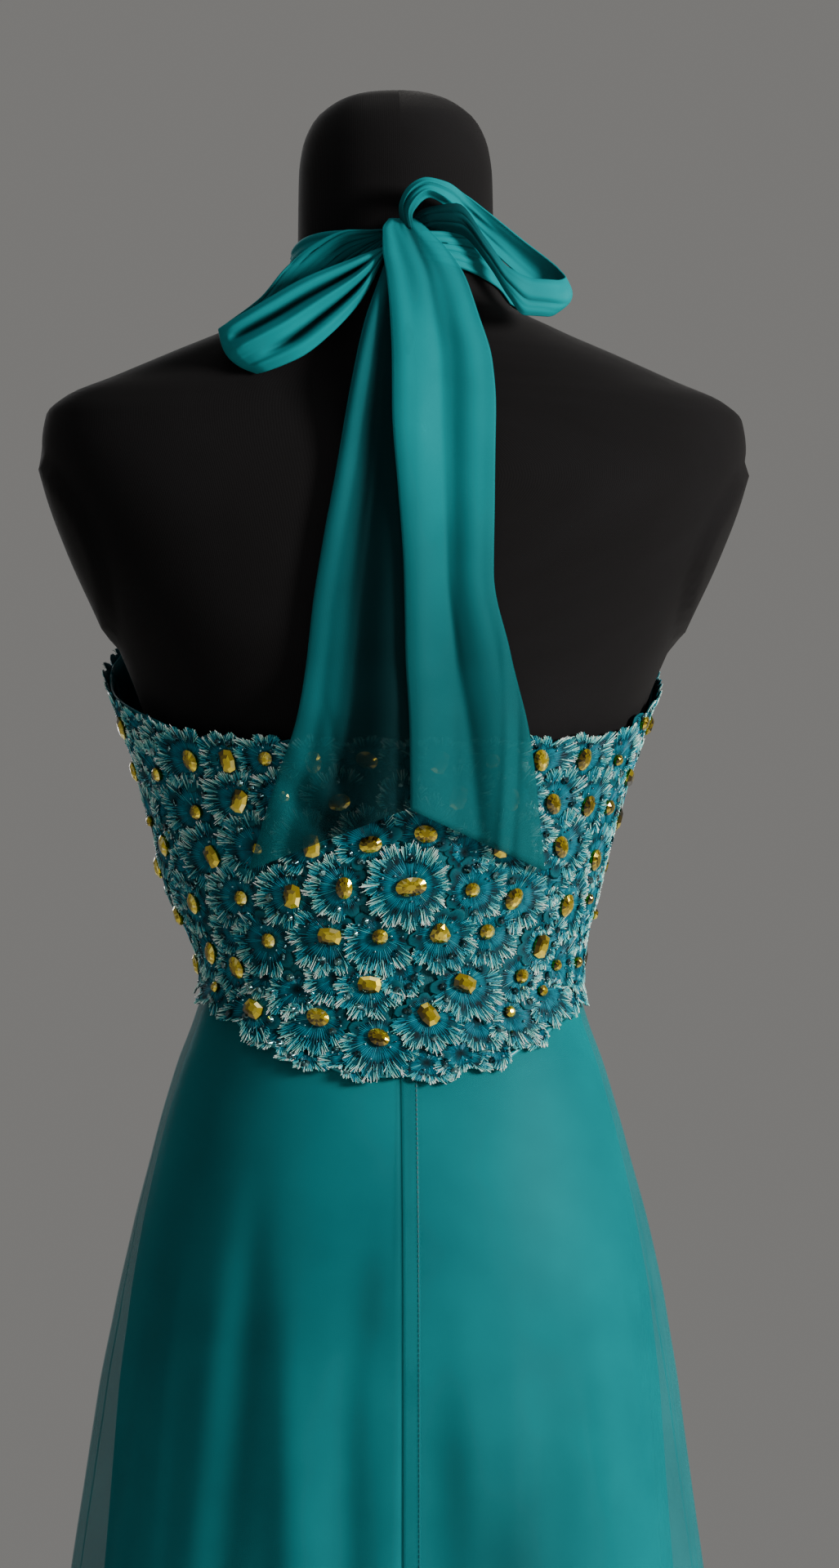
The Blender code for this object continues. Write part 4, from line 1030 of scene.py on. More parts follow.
def bodicePoint(t, z, out, spec=bodiceSpec):
    t = np.asarray(t, float)
    loose = spec["looseHeight"] * bump(degreesFrom(t, spec["looseDegrees"]), 0, spec["looseSpread"])
    loose = loose * easedStep(*spec["looseFrom"], z)
    low = easedStep(*spec["overHips"], z)
    lying = offBody(t, z, spec["out"] + loose + out)
    hanging = offBody(t, z, spec["frameChiffonOut"] + spec["overSkirt"] + out, chiffonEase)
    return lying * (1 - low)[..., None] + hanging * low[..., None]


def nearestOf(spots, spot):      # the straight way from a spot to the nearest of some
    return np.linalg.norm(np.array(spots) - spot, axis=1).min()


def flowerPlaces(spec):
    pitch = turn / spec["columns"]
    places = [(math.radians(degrees) % turn, waistZ + up * mm, cut, math.radians(spin))
              for degrees, up, cut, spin in backFlowers]
    back = [bodyPoint(t, z) for t, z, _, _ in places]
    kinds = ("oval", "octagon", "round", "oval", "trillion", "octagon", "small")
    for row in range(spec["rows"]):
        for step in range(spec["columns"]):
            t = (step + 0.5 * (row % 2 == 0)) * pitch
            z = float(bodiceEdge("lower", t)) + spec["firstRow"] + row * spec["rowPitch"]
            tabled = abs(degreesFrom(t, 0)) < spec["backSpan"]
            if tabled or z > float(bodiceEdge("upper", t)) - spec["topMargin"]:
                continue
            if nearestOf(back, bodyPoint(t, z)) > spec["nearest"]:
                pick = 3 * row + 5 * step      # varies the cut and the turn from flower to flower
                places.append((t, z, kinds[pick % len(kinds)], math.radians(37 * pick % 180 - 90)))
    return places


def panelOf(t):      # which panel a flower is sewn to
    step = (t / turn * bodiceSpec["columns"]) % bodiceSpec["columns"]
    return next(label for label, _, _, end in bodicePanels if step < end)


def makeGround(spec):
    pitch = turn / spec["columns"]
    for label, node, start, end in bodicePanels:
        columns = (end - start) * spec["groundColumns"] + 1
        share = np.linspace(0, 1, columns)[None, :]
        rise = np.linspace(1, 0, spec["groundRows"])[:, None]
        nominal = (start + (end - start) * share) * pitch
        low, high = bodiceEdge("lower", nominal) - 1.5 * mm, bodiceEdge("upper", nominal) + 0.5 * mm
        z = low + (high - low) * rise
        first, last = seamAngle(start, z) + spec["seamGap"], seamAngle(end, z) - spec["seamGap"]
        t = first + (last - first) * share
        points = bodicePoint(t, z, np.zeros(z.shape))
        piece = clothSheet("bodiceGround" + label, points, spec["ground"], finishes["tulle"])
        settle(piece, "embroidered_lace", node)


fanSpec = {
    "lobes": 10,
    "bigLobes": 12,
    "side": 20 * mm,         # reach of a fan to its sides, and how much more it reaches where it opens
    "open": 5 * mm,
    "bigReach": 26 * mm,
    "lobeDepth": 0.22,
    "rings": (0.26, 0.48, 0.62, 0.78, 0.92, 1.0),
    "under": ((0.97, -0.55 * mm), (0.30, -1.0 * mm)),      # the fan's underside, out to its foot
    "heart": 0.3 * mm,
    "perLobe": 4,
    "tilt": 1.9 * mm,          # the rim stands over the roots of the next fans
    "crown": 0.6 * mm,
    "valley": 0.45 * mm,
    "eye": (0.62, 0.30 * mm),      # how far out each lobe's eye lies, and its depth
    "rimRoll": (0.86, 0.25 * mm),
    "openFrom": (math.radians(-2), waistZ + 61 * mm),      # the back's fans open away from here
    "openSpan": 80,
    "midZ": 1.165,             # the others open up above this level and down below it
    "backSpan": 82,            # within this of the centre back the fans carry more strands and trim
    "edgeRoom": 3.5 * mm,
    "stoneRoom": 5.5 * mm,     # a rim stops this far from the next stones
    "nearStones": 36 * mm,
    "fillGap": 19 * mm,        # a fan without a stone goes where no other is this near
    "fillSide": 16 * mm,
}


def gapPlaces(places, spec):      # where small fans without a stone fill the ground
    taken = [bodyPoint(t, z) for t, z, _, _ in places]
    made = []
    for t in np.linspace(0, turn, 120, endpoint=False):
        low, high = float(scalloped("lower", t)) + 9 * mm, float(scalloped("upper", t)) - 7 * mm
        levels = np.linspace(low, high, round((high - low) / (6 * mm)))
        for z, spot in zip(levels, bodyPoint(t, levels)):
            if nearestOf(taken, spot) > spec["fillGap"]:
                taken.append(spot)
                made.append((t, z, None, 0.0))
    return made


def makeFans(spec):
    fans = []
    chance = np.random.default_rng(7)
    places = flowerPlaces(bodiceSpec)
    for index, (t, z, cut, spin) in enumerate(places + gapPlaces(places, spec)):
        big = cut == "navette"
        stretch = float(stretchAt(t, z))
        away = radiansFrom(t, spec["openFrom"][0]) * stretch
        backwards = abs(degreesFrom(t, 0)) < spec["openSpan"]
        rise = z - spec["openFrom"][1] if backwards else 3 * (z - spec["midZ"])
        opens = math.atan2(rise, away if backwards else 0.02 * math.sin(5 * index))
        fans.append({
            "t": t, "z": z, "cut": cut, "spin": spin, "big": big, "stretch": stretch, "open": opens,
            "lobes": spec["bigLobes"] if big else spec["lobes"],
            "phase": chance.uniform(0, turn),
            "reach": spec["bigReach"] if big else spec["fillSide"] if cut is None
            else spec["side"] * chance.uniform(0.94, 1.08),
            "lift": 1.3 * mm if big else -0.15 * mm if cut is None else 0.35 * mm * (index % 3),
            "panel": panelOf(t),
        })
    for fan in fans:
        fan["near"] = []
        for other in fans:
            across = radiansFrom(other["t"], fan["t"]) * fan["stretch"]
            up = other["z"] - fan["z"]
            if other["cut"] and 0 < math.hypot(across, up) < spec["nearStones"]:
                fan["near"].append((math.hypot(across, up), math.atan2(up, across)))
    return fans


def fanReach(fan, way, spec=fanSpec):      # how far a fan goes each way, inside the bodice's edges
    reach = fan["reach"] + (2 * mm if fan["big"] else spec["open"]) * np.cos(way - fan["open"])
    t = fan["t"] + 0.7 * reach * np.cos(way) / fan["stretch"]
    above = scalloped("upper", t) + spec["edgeRoom"] - fan["z"]
    below = fan["z"] - scalloped("lower", t) + spec["edgeRoom"]
    rise = np.sin(way)
    limit = np.where(rise > 0, above, below) / np.maximum(np.abs(rise), 0.05)
    for far, toStone in fan["near"]:
        turned = radiansFrom(way, toStone)
        clear = (far - spec["stoneRoom"]) / np.maximum(np.cos(turned), 0.05) ** 0.6
        limit = np.minimum(limit, np.where(np.abs(turned) < 0.9, clear, 1.0))
    return np.minimum(reach, limit)


def fanPoint(fan, lobeCount, share, lift, spec=fanSpec):
    # lobeCount goes up by one for each lobe, and the fan opens towards the middle of the first one, at 0.5
    way = fan["open"] + (lobeCount - 0.5) * turn / fan["lobes"]
    lobe = np.abs(np.sin(math.pi * lobeCount))
    outline = 1 - spec["lobeDepth"] * (1 - lobe**0.55) * share**2
    r = fanReach(fan, way) * outline * share
    t = fan["t"] + r * np.cos(way) / fan["stretch"]
    z = fan["z"] + r * np.sin(way)
    opening = 0.5 + 0.5 * np.cos(way - fan["open"])
    height = 0.15 * mm + fan["lift"] + spec["tilt"] * share * (0.25 + 0.75 * opening)
    height = height + spec["crown"] * np.sin(math.pi * np.clip(share, 0, 1)) ** 0.8
    valley = (1 - lobe) ** 2 * easedStep(0.25, 0.75, share) * easedStep(1.02, 0.9, share)
    height = height - spec["valley"] * valley
    height = height - spec["eye"][1] * bump(share, spec["eye"][0], 0.10) * lobe**4
    height = height + spec["rimRoll"][1] * bump(share, spec["rimRoll"][0], 0.1) * lobe
    return bodicePoint(t, z, bodiceSpec["ground"] + height + lift)


def makePetals(fans, label, spec=fanSpec):      # the embroidered fans of one panel, each closed underneath
    points, faces, corners = [], [], []
    count = 0
    v = np.array(spec["rings"] + tuple(share for share, _ in spec["under"]))
    drop = np.array((0.0,) * len(spec["rings"]) + tuple(depth for _, depth in spec["under"]))
    rows, step = len(v), 1 / spec["perLobe"]
    for fan in fans:
        spokes = fan["lobes"] * spec["perLobe"]
        j = np.arange(spokes)
        u = j / spec["perLobe"]
        points.append(fanPoint(fan, u[None, :], v[:, None], drop[:, None]).reshape(-1, 3))
        points.append(fanPoint(fan, np.array([0.5, 0.5]), np.zeros(2), np.array([0.0, -spec["heart"]])))
        i, k = (places.ravel() for places in np.meshgrid(np.arange(rows - 1), j, indexing="ij"))
        n = (k + 1) % spokes
        here, below = count + i * spokes, count + (i + 1) * spokes
        faces += np.stack([here + k, below + k, below + n, here + n], axis=1).tolist()
        left, right = u[k], u[k] + step
        corners.append(np.stack([left, v[i], left, v[i + 1], right, v[i + 1], right, v[i]], axis=1))
        n = (j + 1) % spokes
        middle, last = count + rows * spokes, count + (rows - 1) * spokes
        faces += np.stack([np.full(spokes, middle), count + j, count + n], axis=1).tolist()
        corners.append(np.stack([u + step / 2, u * 0, u, u * 0 + v[0], u + step, u * 0 + v[0]], axis=1))
        faces += np.stack([np.full(spokes, middle + 1), last + n, last + j], axis=1).tolist()
        corners.append(np.stack([u + step / 2, u * 0, u + step, u * 0, u, u * 0], axis=1))
        count += rows * spokes + 2
    mesh = bpy.data.meshes.new("petals" + label)
    mesh.from_pydata(np.concatenate(points).tolist(), [], faces)
    layer = mesh.uv_layers.new(name="petal")
    layer.data.foreach_set("uv", np.concatenate([part.ravel() for part in corners]).astype(np.float32))
    return settle(addPiece("petals" + label, mesh, finishes["fill"]), "embroidered_lace")


threadSpec = {
    "bundle": 2,               # strands of a bundle share their shade and length
    "outer": 14,               # bundles from each lobe's eye to its rim, on the back and elsewhere
    "outerElsewhere": 6,
    "inner": 3,                # bundles of each lobe from the stone to its eye
    "innerElsewhere": 2,
    "thickness": 0.38 * mm,
    "sides": 3,
    "off": 0.10 * mm,
    "span": 100,               # lobes further than this from the way a fan opens carry inner ones only
}


def makeThreads(fans, label, spec=threadSpec):
    chance = np.random.default_rng(len(fans))
    points, edges, tones, girths = [], [], [], []
    count = 0
    tip = np.array([[0, 1]])      # each strand runs from its root, 0, to its tip, 1
    for fan in fans:
        back = abs(degreesFrom(fan["t"], 0)) < fanSpec["backSpan"]
        every = np.arange(fan["lobes"])
        fromOpening = np.abs((every * 360 / fan["lobes"] + 180) % 360 - 180)
        for kind in ("outer", "inner"):
            bundles = spec[kind if back else kind + "Elsewhere"]
            lobes = every if kind == "inner" or fan["big"] else every[fromOpening <= spec["span"]]
            each = bundles * spec["bundle"]
            lobe = np.repeat(lobes, each)[:, None]
            size = lobe.shape
            shared = chance.uniform(0, 1, (3, len(lobes) * bundles, 1))
            shade, long, aside = np.repeat(shared, spec["bundle"], axis=1)
            side = np.tile((np.arange(each) + 0.5) / each, len(lobes))[:, None]
            side = side + chance.uniform(-0.03, 0.03, size)
            patch = 0.5 + 0.5 * np.sin(2.1 * lobe + 8 * side + fan["phase"])
            if kind == "outer":
                root = 0.5 + (side - 0.5) * 0.85 + 0.26 * (aside - 0.5) + chance.uniform(-0.10, 0.10, size)
                first = 0.52 + 0.28 * long + chance.uniform(0, 0.12, size)
                last = 0.90 + 0.10 * shade + chance.uniform(-0.04, 0.08, size)
                rise = (0.15 + 0.35 * shade + chance.uniform(-0.1, 0.1, size)) * mm * (0.4 + 0.6 * tip)
                facing = np.cos((lobe + side - 0.5) * turn / fan["lobes"]) if not fan["big"] else 0.8
                tone = 0.10 + 0.66 * shade**1.2 + 0.16 * patch + 0.20 * facing
                tone = np.clip(tone + chance.uniform(-0.16, 0.16, size), 0.04, 1) * (0.62 + 0.38 * tip)
                girth = (0.7 + 0.25 * tip) * chance.uniform(0.8, 1.2, size)
            else:
                root = side
                first, last = 0.16 + 0.24 * long, 0.52 + 0.22 * aside
                rise = 0.08 * mm
                tone = 0.30 * shade + 0.36 * patch * chance.uniform(0, 1, size) ** 2
                girth = 0.9 - 0.3 * tip
            share = first + (last - first) * tip
            place = lobe + root + (side - root) * tip
            points.append(fanPoint(fan, place, share, spec["off"] + rise).reshape(-1, 3))
            ids = count + np.arange(share.size).reshape(share.shape)
            edges.append(ids)
            tones.append(np.broadcast_to(tone, share.shape).ravel())
            girths.append(np.broadcast_to(girth, share.shape).ravel())
            count += share.size
    mesh = pointMesh("threadLines" + label, np.concatenate(points), np.concatenate(edges).tolist(),
                     tone=np.concatenate(tones), girth=np.concatenate(girths))
    made = grown("embroideryThreads" + label, mesh, trees["threads"], {
        "Thickness": spec["thickness"],
        "Sides": spec["sides"],
        "Finish": finishes["thread"],
    })
    return settle(made, "embroidered_lace")


facetLightShares = {"least": 0.24, "lit": 0.30, "spread": 0.38}      # painted light on the facets: lighter towards one side of the stone, and at random


def ringShape(name, rings, facets):
    # A closed solid from rings of corners, top to bottom: each ring is (radii, height, half step)
    work = bmesh.new()
    made = []
    for radii, height, shift in rings:
        corners = len(radii)
        made.append([work.verts.new((r * math.sin(turn * (k + shift) / corners) * a,
                                     r * math.cos(turn * (k + shift) / corners) * b, height))
                     for k, (r, a, b) in enumerate(radii)])
    for (upper, lower, (_, _, shiftUp), (_, _, shiftDown)) in zip(made, made[1:], rings, rings[1:]):
        corners = len(upper)
        for k in range(corners):
            n = (k + 1) % corners
            if shiftUp == shiftDown:
                work.faces.new([upper[k], upper[n], lower[n], lower[k]])
            elif shiftUp > shiftDown:
                work.faces.new([upper[k], lower[n], lower[k]])
                work.faces.new([upper[k], upper[n], lower[n]])
            else:
                work.faces.new([upper[k], upper[n], lower[k]])
                work.faces.new([upper[n], lower[n], lower[k]])
    work.faces.new(made[0])
    work.faces.new(made[-1][::-1])
    mesh = meshFrom(name, work)
    if not facets:
        mesh.shade_smooth()
        return mesh
    # Painted light: facets towards the stone's +x side lighter, those towards its -x side darker, each with
    # a random share
    layer = mesh.attributes.new("paintedFacetLight", "FLOAT", "FACE")
    widest = max(corner.co.x for corner in mesh.vertices)
    lit = np.array([face.center.x / widest for face in mesh.polygons])
    order = np.arange(len(lit))
    mixed = 0.618 * order * order % 1
    shades = facetLightShares["least"] + facetLightShares["lit"] * lit + facetLightShares["spread"] * mixed
    layer.data.foreach_set("value", shades)
    return mesh


def cutRadii(cut, scale, shift):      # corners of a stone's outline as (radius, width, length)
    wide, long, corners, roundness, _ = stoneCuts[cut]
    made = []
    for k in range(corners):
        way = turn * (k + shift) / corners
        s, c = abs(math.sin(way)), abs(math.cos(way))
        r = 1 + 0.12 * math.cos(3 * way)      # a trillion bulges three ways
        if roundness >= 2:
            r = (s**roundness + c**roundness) ** (-1 / roundness)
        made.append((r * scale * mm, wide, long))
    return made


def stoneRings(cut):      # table, crown, girdle and pavilion
    height = stoneCuts[cut][4] * mm
    half = 0 if cut == "octagon" else 0.5
    levels = ((0.30, height, half), (0.62, height * 0.90, 0), (1.0, height * 0.12, half),
              (1.0, -0.25 * mm, half), (0.60, -1.2 * mm, 0), (0.12, -2.0 * mm, half))
    return [(cutRadii(cut, scale, shift), level, shift) for scale, level, shift in levels]


def seatRings(cut):      # a foiled cup that follows the pavilion, then the outside down to its foot
    half = 0 if cut == "octagon" else 0.5
    levels = ((0.12, -2.06 * mm, 0), (0.61, -1.25 * mm, half), (0.98, -0.32 * mm, 0), (0.97, -1.1 * mm, 0),
              (0.86, -3.0 * mm, 0))
    return [(cutRadii(cut, scale, shift), level, shift) for scale, level, shift in levels]


def evenRings(sides, radius, levels):      # rings of one radius each, as (share of the radius, height)
    return [([(radius * share, 1, 1)] * sides, height, 0) for share, height in levels]


def shapesToRepeat(name, meshes):      # names keep their order, because the node tree picks them by it
    group = bpy.data.collections.new(name)
    parts.children.link(group)
    for index, mesh in enumerate(meshes):
        group.objects.link(bpy.data.objects.new(f"{name}{index}", mesh))
    return group


def eulersAt(t, z, spins, lean=0.0):      # the turns that stand shapes on the bodice, their length upwards
    made = []
    for normal, spin in zip(outward(t, z), spins):
        outwards = Vector(normal)
        across = Vector((0, 0, 1)).cross(outwards).normalized()
        up = outwards.cross(across)
        stood = Matrix((across, up, outwards)).transposed()
        turned = stood @ Matrix.Rotation(spin, 3, "Z") @ Matrix.Rotation(lean, 3, "X")
        made.append(tuple(turned.to_euler()))
    return np.array(made)


def makeStones(fans, raised=2.7 * mm):      # each stone's girdle stands this far off the lace's ground
    cuts = list(stoneCuts)
    fans = [fan for fan in fans if fan["cut"]]
    t, z, lift = (np.array([fan[name] for fan in fans]) for name in ("t", "z", "lift"))
    seat = bodicePoint(t, z, bodiceSpec["ground"] + lift + raised)
    turned = eulersAt(t, z, [fan["spin"] for fan in fans])
    chance = np.random.default_rng(3)
    size = np.repeat(chance.uniform(0.96, 1.05, (len(fans), 1)), 3, axis=1)
    shape = np.array([cuts.index(fan["cut"]) for fan in fans], np.int32)
    tone = chance.uniform(0, 1, len(fans))
    for name, rings, finish in (("stones", stoneRings, "crystal"), ("stoneSeats", seatRings, "foil")):
        group = shapesToRepeat(name, [ringShape(name + cut, rings(cut), facets=True) for cut in cuts])
        mesh = pointMesh(name + "Places", seat, turned=turned, girth=size, shape=shape, tone=tone)
        made = grown(name, mesh, trees["setOut"], {"Shapes": group, "Size": 1.0, "Finish": finishes[finish]})
        settle(made, "embroidered_lace")


trimSpec = {
    "sequinRadius": 2.2 * mm,
    "sequinSides": 8,
    "sequinLean": 0.25,
    "sequinOff": 0.35 * mm,
    "beadRadius": 0.8 * mm,
    "beadSides": 6,
    "beadLean": 1.2,
    "beadOff": 0.55 * mm,
    "sequins": (3, 1),         # on a fan of the back, and elsewhere
    "beads": (10, 4),
}


def makeTrim(fans, spec=trimSpec):      # cup sequins on the lobes' eyes, seed beads in the dark parts
    chance = np.random.default_rng(21)
    laid = {"sequin": [], "bead": []}
    for fan in fans:
        elsewhere = abs(degreesFrom(fan["t"], 0)) > fanSpec["backSpan"]
        for k in range(spec["sequins"][elsewhere]):
            lobe = (int(chance.integers(-3, 4)) + 0.5) % fan["lobes"] + chance.uniform(-0.1, 0.1)
            laid["sequin"].append((fan, lobe, chance.uniform(0.56, 0.66)))
        for k in range(spec["beads"][elsewhere]):
            share = chance.uniform(0.32, 0.50) if k % 3 == 0 else chance.uniform(0.58, 0.76)
            laid["bead"].append((fan, chance.uniform(-4, 5) % fan["lobes"], share))
    levels = {
        "sequin": ((1, 0.55 * mm), (0.62, 0.15 * mm), (0.22, 0.10 * mm), (0.20, -0.25 * mm),
                   (0.66, -0.10 * mm), (0.98, 0.42 * mm)),
        "bead": ((0.6, 0.6 * spec["beadRadius"]), (1, 0), (0.6, -0.6 * spec["beadRadius"])),
    }
    for name, places in laid.items():
        rings = evenRings(spec[name + "Sides"], spec[name + "Radius"], levels[name])
        shape = ringShape(name, rings, facets=False)
        seat = np.concatenate([fanPoint(fan, np.array([lobe]), np.array([share]), spec[name + "Off"])
                               for fan, lobe, share in places])
        t = np.arctan2(seat[:, 0], seat[:, 1])
        turned = eulersAt(t, seat[:, 2], chance.uniform(0, turn, len(places)), spec[name + "Lean"])
        size = np.repeat(chance.uniform(0.85, 1.1, (len(places), 1)), 3, axis=1)
        mesh = pointMesh(name + "Places", seat, turned=turned, girth=size,
                         tone=chance.uniform(0, 1, len(places)) ** 2, shape=np.zeros(len(places), np.int32))
        group = shapesToRepeat(name + "Shape", [shape])
        made = grown(name + "s", mesh, trees["setOut"],
                     {"Shapes": group, "Size": 1.0, "Finish": finishes[name]})
        settle(made, "embroidered_lace")


pipingSpec = {
    "thickness": 3.0 * mm,
    "below": 2.5 * mm,         # under the bodice's edge, whose scallops it follows by this share
    "scallop": 0.35,
    "off": 0.5 * mm,
    "sides": 8,
    "steps": 360,
}


def makePiping(spec=pipingSpec):      # the lower edge's satin binding, seen where the lobes leave it free
    t = np.linspace(0.01, turn - 0.01, spec["steps"])
    edge, lobed = bodiceEdge("lower", t), scalloped("lower", t)
    z = edge + (lobed - edge) * spec["scallop"] - spec["below"]
    points = bodicePoint(t, z, np.full(len(t), spec["off"]))
    mesh = pointMesh("pipingLine", points, [(k, k + 1) for k in range(len(t) - 1)], girth=np.ones(len(t)))
    made = grown("lowerEdgePiping", mesh, trees["threads"], {
        "Thickness": spec["thickness"],
        "Sides": spec["sides"],
        "Finish": finishes["piping"],
    })
    settle(made, "teal_satin")


makeGround(bodiceSpec)
allFans = makeFans(fanSpec)
for panel, *_ in bodicePanels:
    panelFans = [fan for fan in allFans if fan["panel"] == panel]
    makePetals(panelFans, panel)
    makeThreads(panelFans, panel)
makeStones(allFans)
makeTrim(allFans)
makePiping()
print("bodice: done,", len(allFans), "flowers")


# The straps and the bow of the tie at the nape

bowSpec = {
    "knotZ": 1.512,
    "knotHalf": (10.5, 8.0, 12.0),
    "knotGap": 0.7 * mm,
    "wall": 0.9 * mm,
    "crown": 5 * mm,
    "tipRound": 6 * mm,
    "gap": 3 * mm,
    "hang": 150 * mm,
    "tailFold": 1.7 * mm,
    "tailOffForm": 3.5 * mm,
    "tailOffStones": 9 * mm,
    "lean": 7 * mm,            # the left end leans away from the light, under the right one
    "strapGap": 1.1 * mm,
    "deepFold": 5 * mm,        # a loop's painted shade is at its darkest in a fold this deep
    "loopSteps": (120, 48),    # points along and across each piece
    "tailSteps": (150, 44),
    "strapSteps": (90, 26),
}
# The bow's tables are in millimetres from the knot: x to the wearer's left, z up, out away from the neck
# A loop's last column is its painted shade along it, from 0 to 1
loopColumns = ("upperX", "upperZ", "lowerX", "lowerZ", "out", "paintedShade")
loopLeft = (
    (11.5, -2, 11.5, -9, 3, 0.60),
    (30, -10, 23, -32, 9, 0.22),
    (58, -22, 42, -54, 12, 0.06),
    (82, -36, 60, -68, 11, 0.02),
    (102, -48, 80, -76, 6, 0.08),
    (107, -51, 85, -77, 0, 0.22),
    (101, -46, 82, -72, -6, 0.40),
    (82, -31, 66, -62, -8, 0.30),
    (68, -14, 49, -44, -8, 0.24),
    (51, 0, 36, -28, -6, 0.30),
    (31, 8, 24, -14, -3, 0.40),
    (11.5, 8, 11.5, 0, -1, 0.70),
)
loopRight = (
    (-6, 16, -11, 8, 1, 0.95),
    (-14, 21, -18, 9, 5, 0.92),
    (-31, 23, -34, 6, 11, 0.86),
    (-47, 3, -51, -13, 14, 0.72),
    (-61, -14, -62, -30, 14, 0.40),
    (-76, -20, -71, -40, 11, 0.12),
    (-89, -20, -84, -40, 6, 0.04),
    (-95, -17, -91, -36, 0, 0.10),
    (-91, -11, -89, -31, -5, 0.34),
    (-70, 6, -72, -17, -8, 0.16),
    (-52, 20, -56, -3, -7, 0.12),
    (-38, 30, -42, 10, -3, 0.10),
    (-26, 37, -28, 21, 3, 0.10),
    (-14, 39, -16, 27, 7, 0.14),
    (-3, 33, -9, 22, 8, 0.30),
    (2, 21, -6, 16, 7, 0.60),
    (0, 10, -8, 8, 4, 0.85),
)
tailColumns = ("leftX", "leftZ", "rightX", "rightZ")
tailRight = (
    (8, 13, -8, 13),
    (12, 6, -13, 8),
    (12, -5, -25, -4),
    (10, -19, -35, -19),
    (8, -42, -43, -42),
    (7, -70, -51, -70),
    (7, -98, -53, -98),
    (4, -145, -52, -145),
    (1, -192, -51, -192),
    (0, -239, -61, -239),
    (-2, -285, -73, -290),
    (-3, -328, -83, -363),
)
tailLeft = (
    (8.5, -7, -3, -7),
    (23, -51, -5, -51),
    (30, -84, -7, -84),
    (39, -136, -7, -136),
    (46, -173, -6, -173),
    (52, -211, -6, -211),
    (56, -248, -6, -248),
    (61, -276, -7, -276),
    (73, -314, -7, -302),
    (87, -363, -7, -325),
)
# The left strap's middle line and width from the cup to the knot, in metres of the frame
strapColumns = ("x", "y", "z", "width")
strapPath = (
    (0.0790, -0.094, 1.3273, 0.041),
    (0.0785, -0.086, 1.355, 0.039),
    (0.0765, -0.077, 1.385, 0.037),
    (0.0745, -0.066, 1.415, 0.036),
    (0.0725, -0.056, 1.440, 0.034),
    (0.0700, -0.042, 1.463, 0.033),
    (0.0670, -0.022, 1.483, 0.032),
    (0.0630, 0.000, 1.497, 0.030),
    (0.0560, 0.022, 1.505, 0.027),
    (0.0430, 0.042, 1.509, 0.023),
    (0.0240, 0.055, 1.511, 0.018),
    (0.0102, 0.0590, 1.512, 0.015),
)


def knotCentre(spec=bowSpec):
    neck = float(backY(0.0, spec["knotZ"]))
    return Vector((0, neck + spec["knotGap"] + spec["knotHalf"][1] * mm, spec["knotZ"]))


def sharesOf(steps):      # how far each point lies along and across a piece, from 0 to 1
    rows, columns = steps
    return np.linspace(0, 1, rows)[:, None], np.linspace(0, 1, columns)[None, :]


def acrossTable(at, one, other, share):      # from one edge of a piece to the other
    return at[one][:, None] * (1 - share) + at[other][:, None] * share


def alongTable(table, columns, count, unit=mm):      # a table's columns as smooth values along the piece
    rows = np.arange(len(table), dtype=float)
    places = np.linspace(0, len(table) - 1, count)
    made = {name: smoothCurve(rows, columnOf(table, columns, name), places) for name in columns}
    return {name: values * (1 if name == "paintedShade" else unit) for name, values in made.items()}


def makeKnot(spec=bowSpec):
    work = bmesh.new()
    bmesh.ops.create_uvsphere(work, u_segments=72, v_segments=48, radius=1)
    for vertex in work.verts:
        x, y, z = vertex.co
        around = math.atan2(y, x)
        slant = 9 * around + 3.5 * z + 0.7 * math.sin(2 * z)
        creases = 0.05 * (1 + math.cos(slant)) + 0.03 * (1 + math.cos(2.3 * slant + 1))
        ripple = 1 - (1 - abs(z)) * creases
        boxy = (abs(x) ** 3 + abs(y) ** 3 + abs(z) ** 3) ** (1 / 3)
        half = spec["knotHalf"]
        vertex.co = Vector((x * half[0], y * half[1], z * half[2])) * mm * ripple / boxy + knotCentre()
    mesh = meshFrom("bowKnot", work, turned=False)
    points = np.array([v.co for v in mesh.vertices])
    setMap(mesh, "cloth", points[:, [0, 2]])
    # painted shade, even over the whole knot
    setAttribute(mesh, "paintedShade", np.full(len(points), 0.3))
    settle(addPiece("bowKnot", mesh, finishes["loopChiffon"]), "teal_chiffon", "bow_knot")


def broughtOver(points, node):      # moved as a whole until it stands over its node's box
    low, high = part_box(node)
    middle = (points.reshape(-1, 3).min(axis=0) + points.reshape(-1, 3).max(axis=0)) / 2
    return points + (np.array(low + high) / 2 - middle)


def gathers(along, across, near, count, depth, reach, seed):
    # Soft uneven gathers that start at the knot and fade out along the cloth
    phase = seed * 1.7
    wander = 0.25 * np.sin(5 * along + seed) + 0.12 * np.sin(11 * along + 2 * seed)
    wave = np.sin(turn * count * (across + wander * 0.25) + phase)
    wave = wave + 0.5 * np.sin(turn * (count * 1.7) * (across + wander * 0.15) + 2 * phase)
    uneven = 0.65 + 0.35 * np.sin(turn * across * 1.3 + seed)
    return depth * wave * uneven * np.exp(-((np.abs(along - near) / reach) ** 1.5))


# Folds along each loop: place across it where the fold starts and ends, half width, height in mm, from, to
foldsOfLeftLoop = (
    (0.12, 0.08, 0.08, 3.4, 0.00, 0.46),
    (0.30, 0.24, 0.050, -9.0, 0.03, 0.40),
    (0.48, 0.44, 0.08, 4.5, 0.02, 0.46),
    (0.66, 0.70, 0.050, -9.0, 0.04, 0.34),
    (0.88, 0.86, 0.07, 2.8, 0.00, 0.46),
    (0.60, 0.50, 0.08, -2.0, 0.54, 0.98),
    (0.30, 0.28, 0.08, 1.6, 0.54, 1.00),
)
foldsOfRightLoop = (
    (0.14, 0.10, 0.10, 1.6, 0.06, 0.44),
    (0.55, 0.62, 0.08, -1.8, 0.10, 0.44),
    (0.86, 0.90, 0.08, 1.2, 0.06, 0.44),
    (0.30, 0.34, 0.08, -2.2, 0.60, 0.98),
    (0.70, 0.66, 0.08, 1.6, 0.56, 0.98),
)


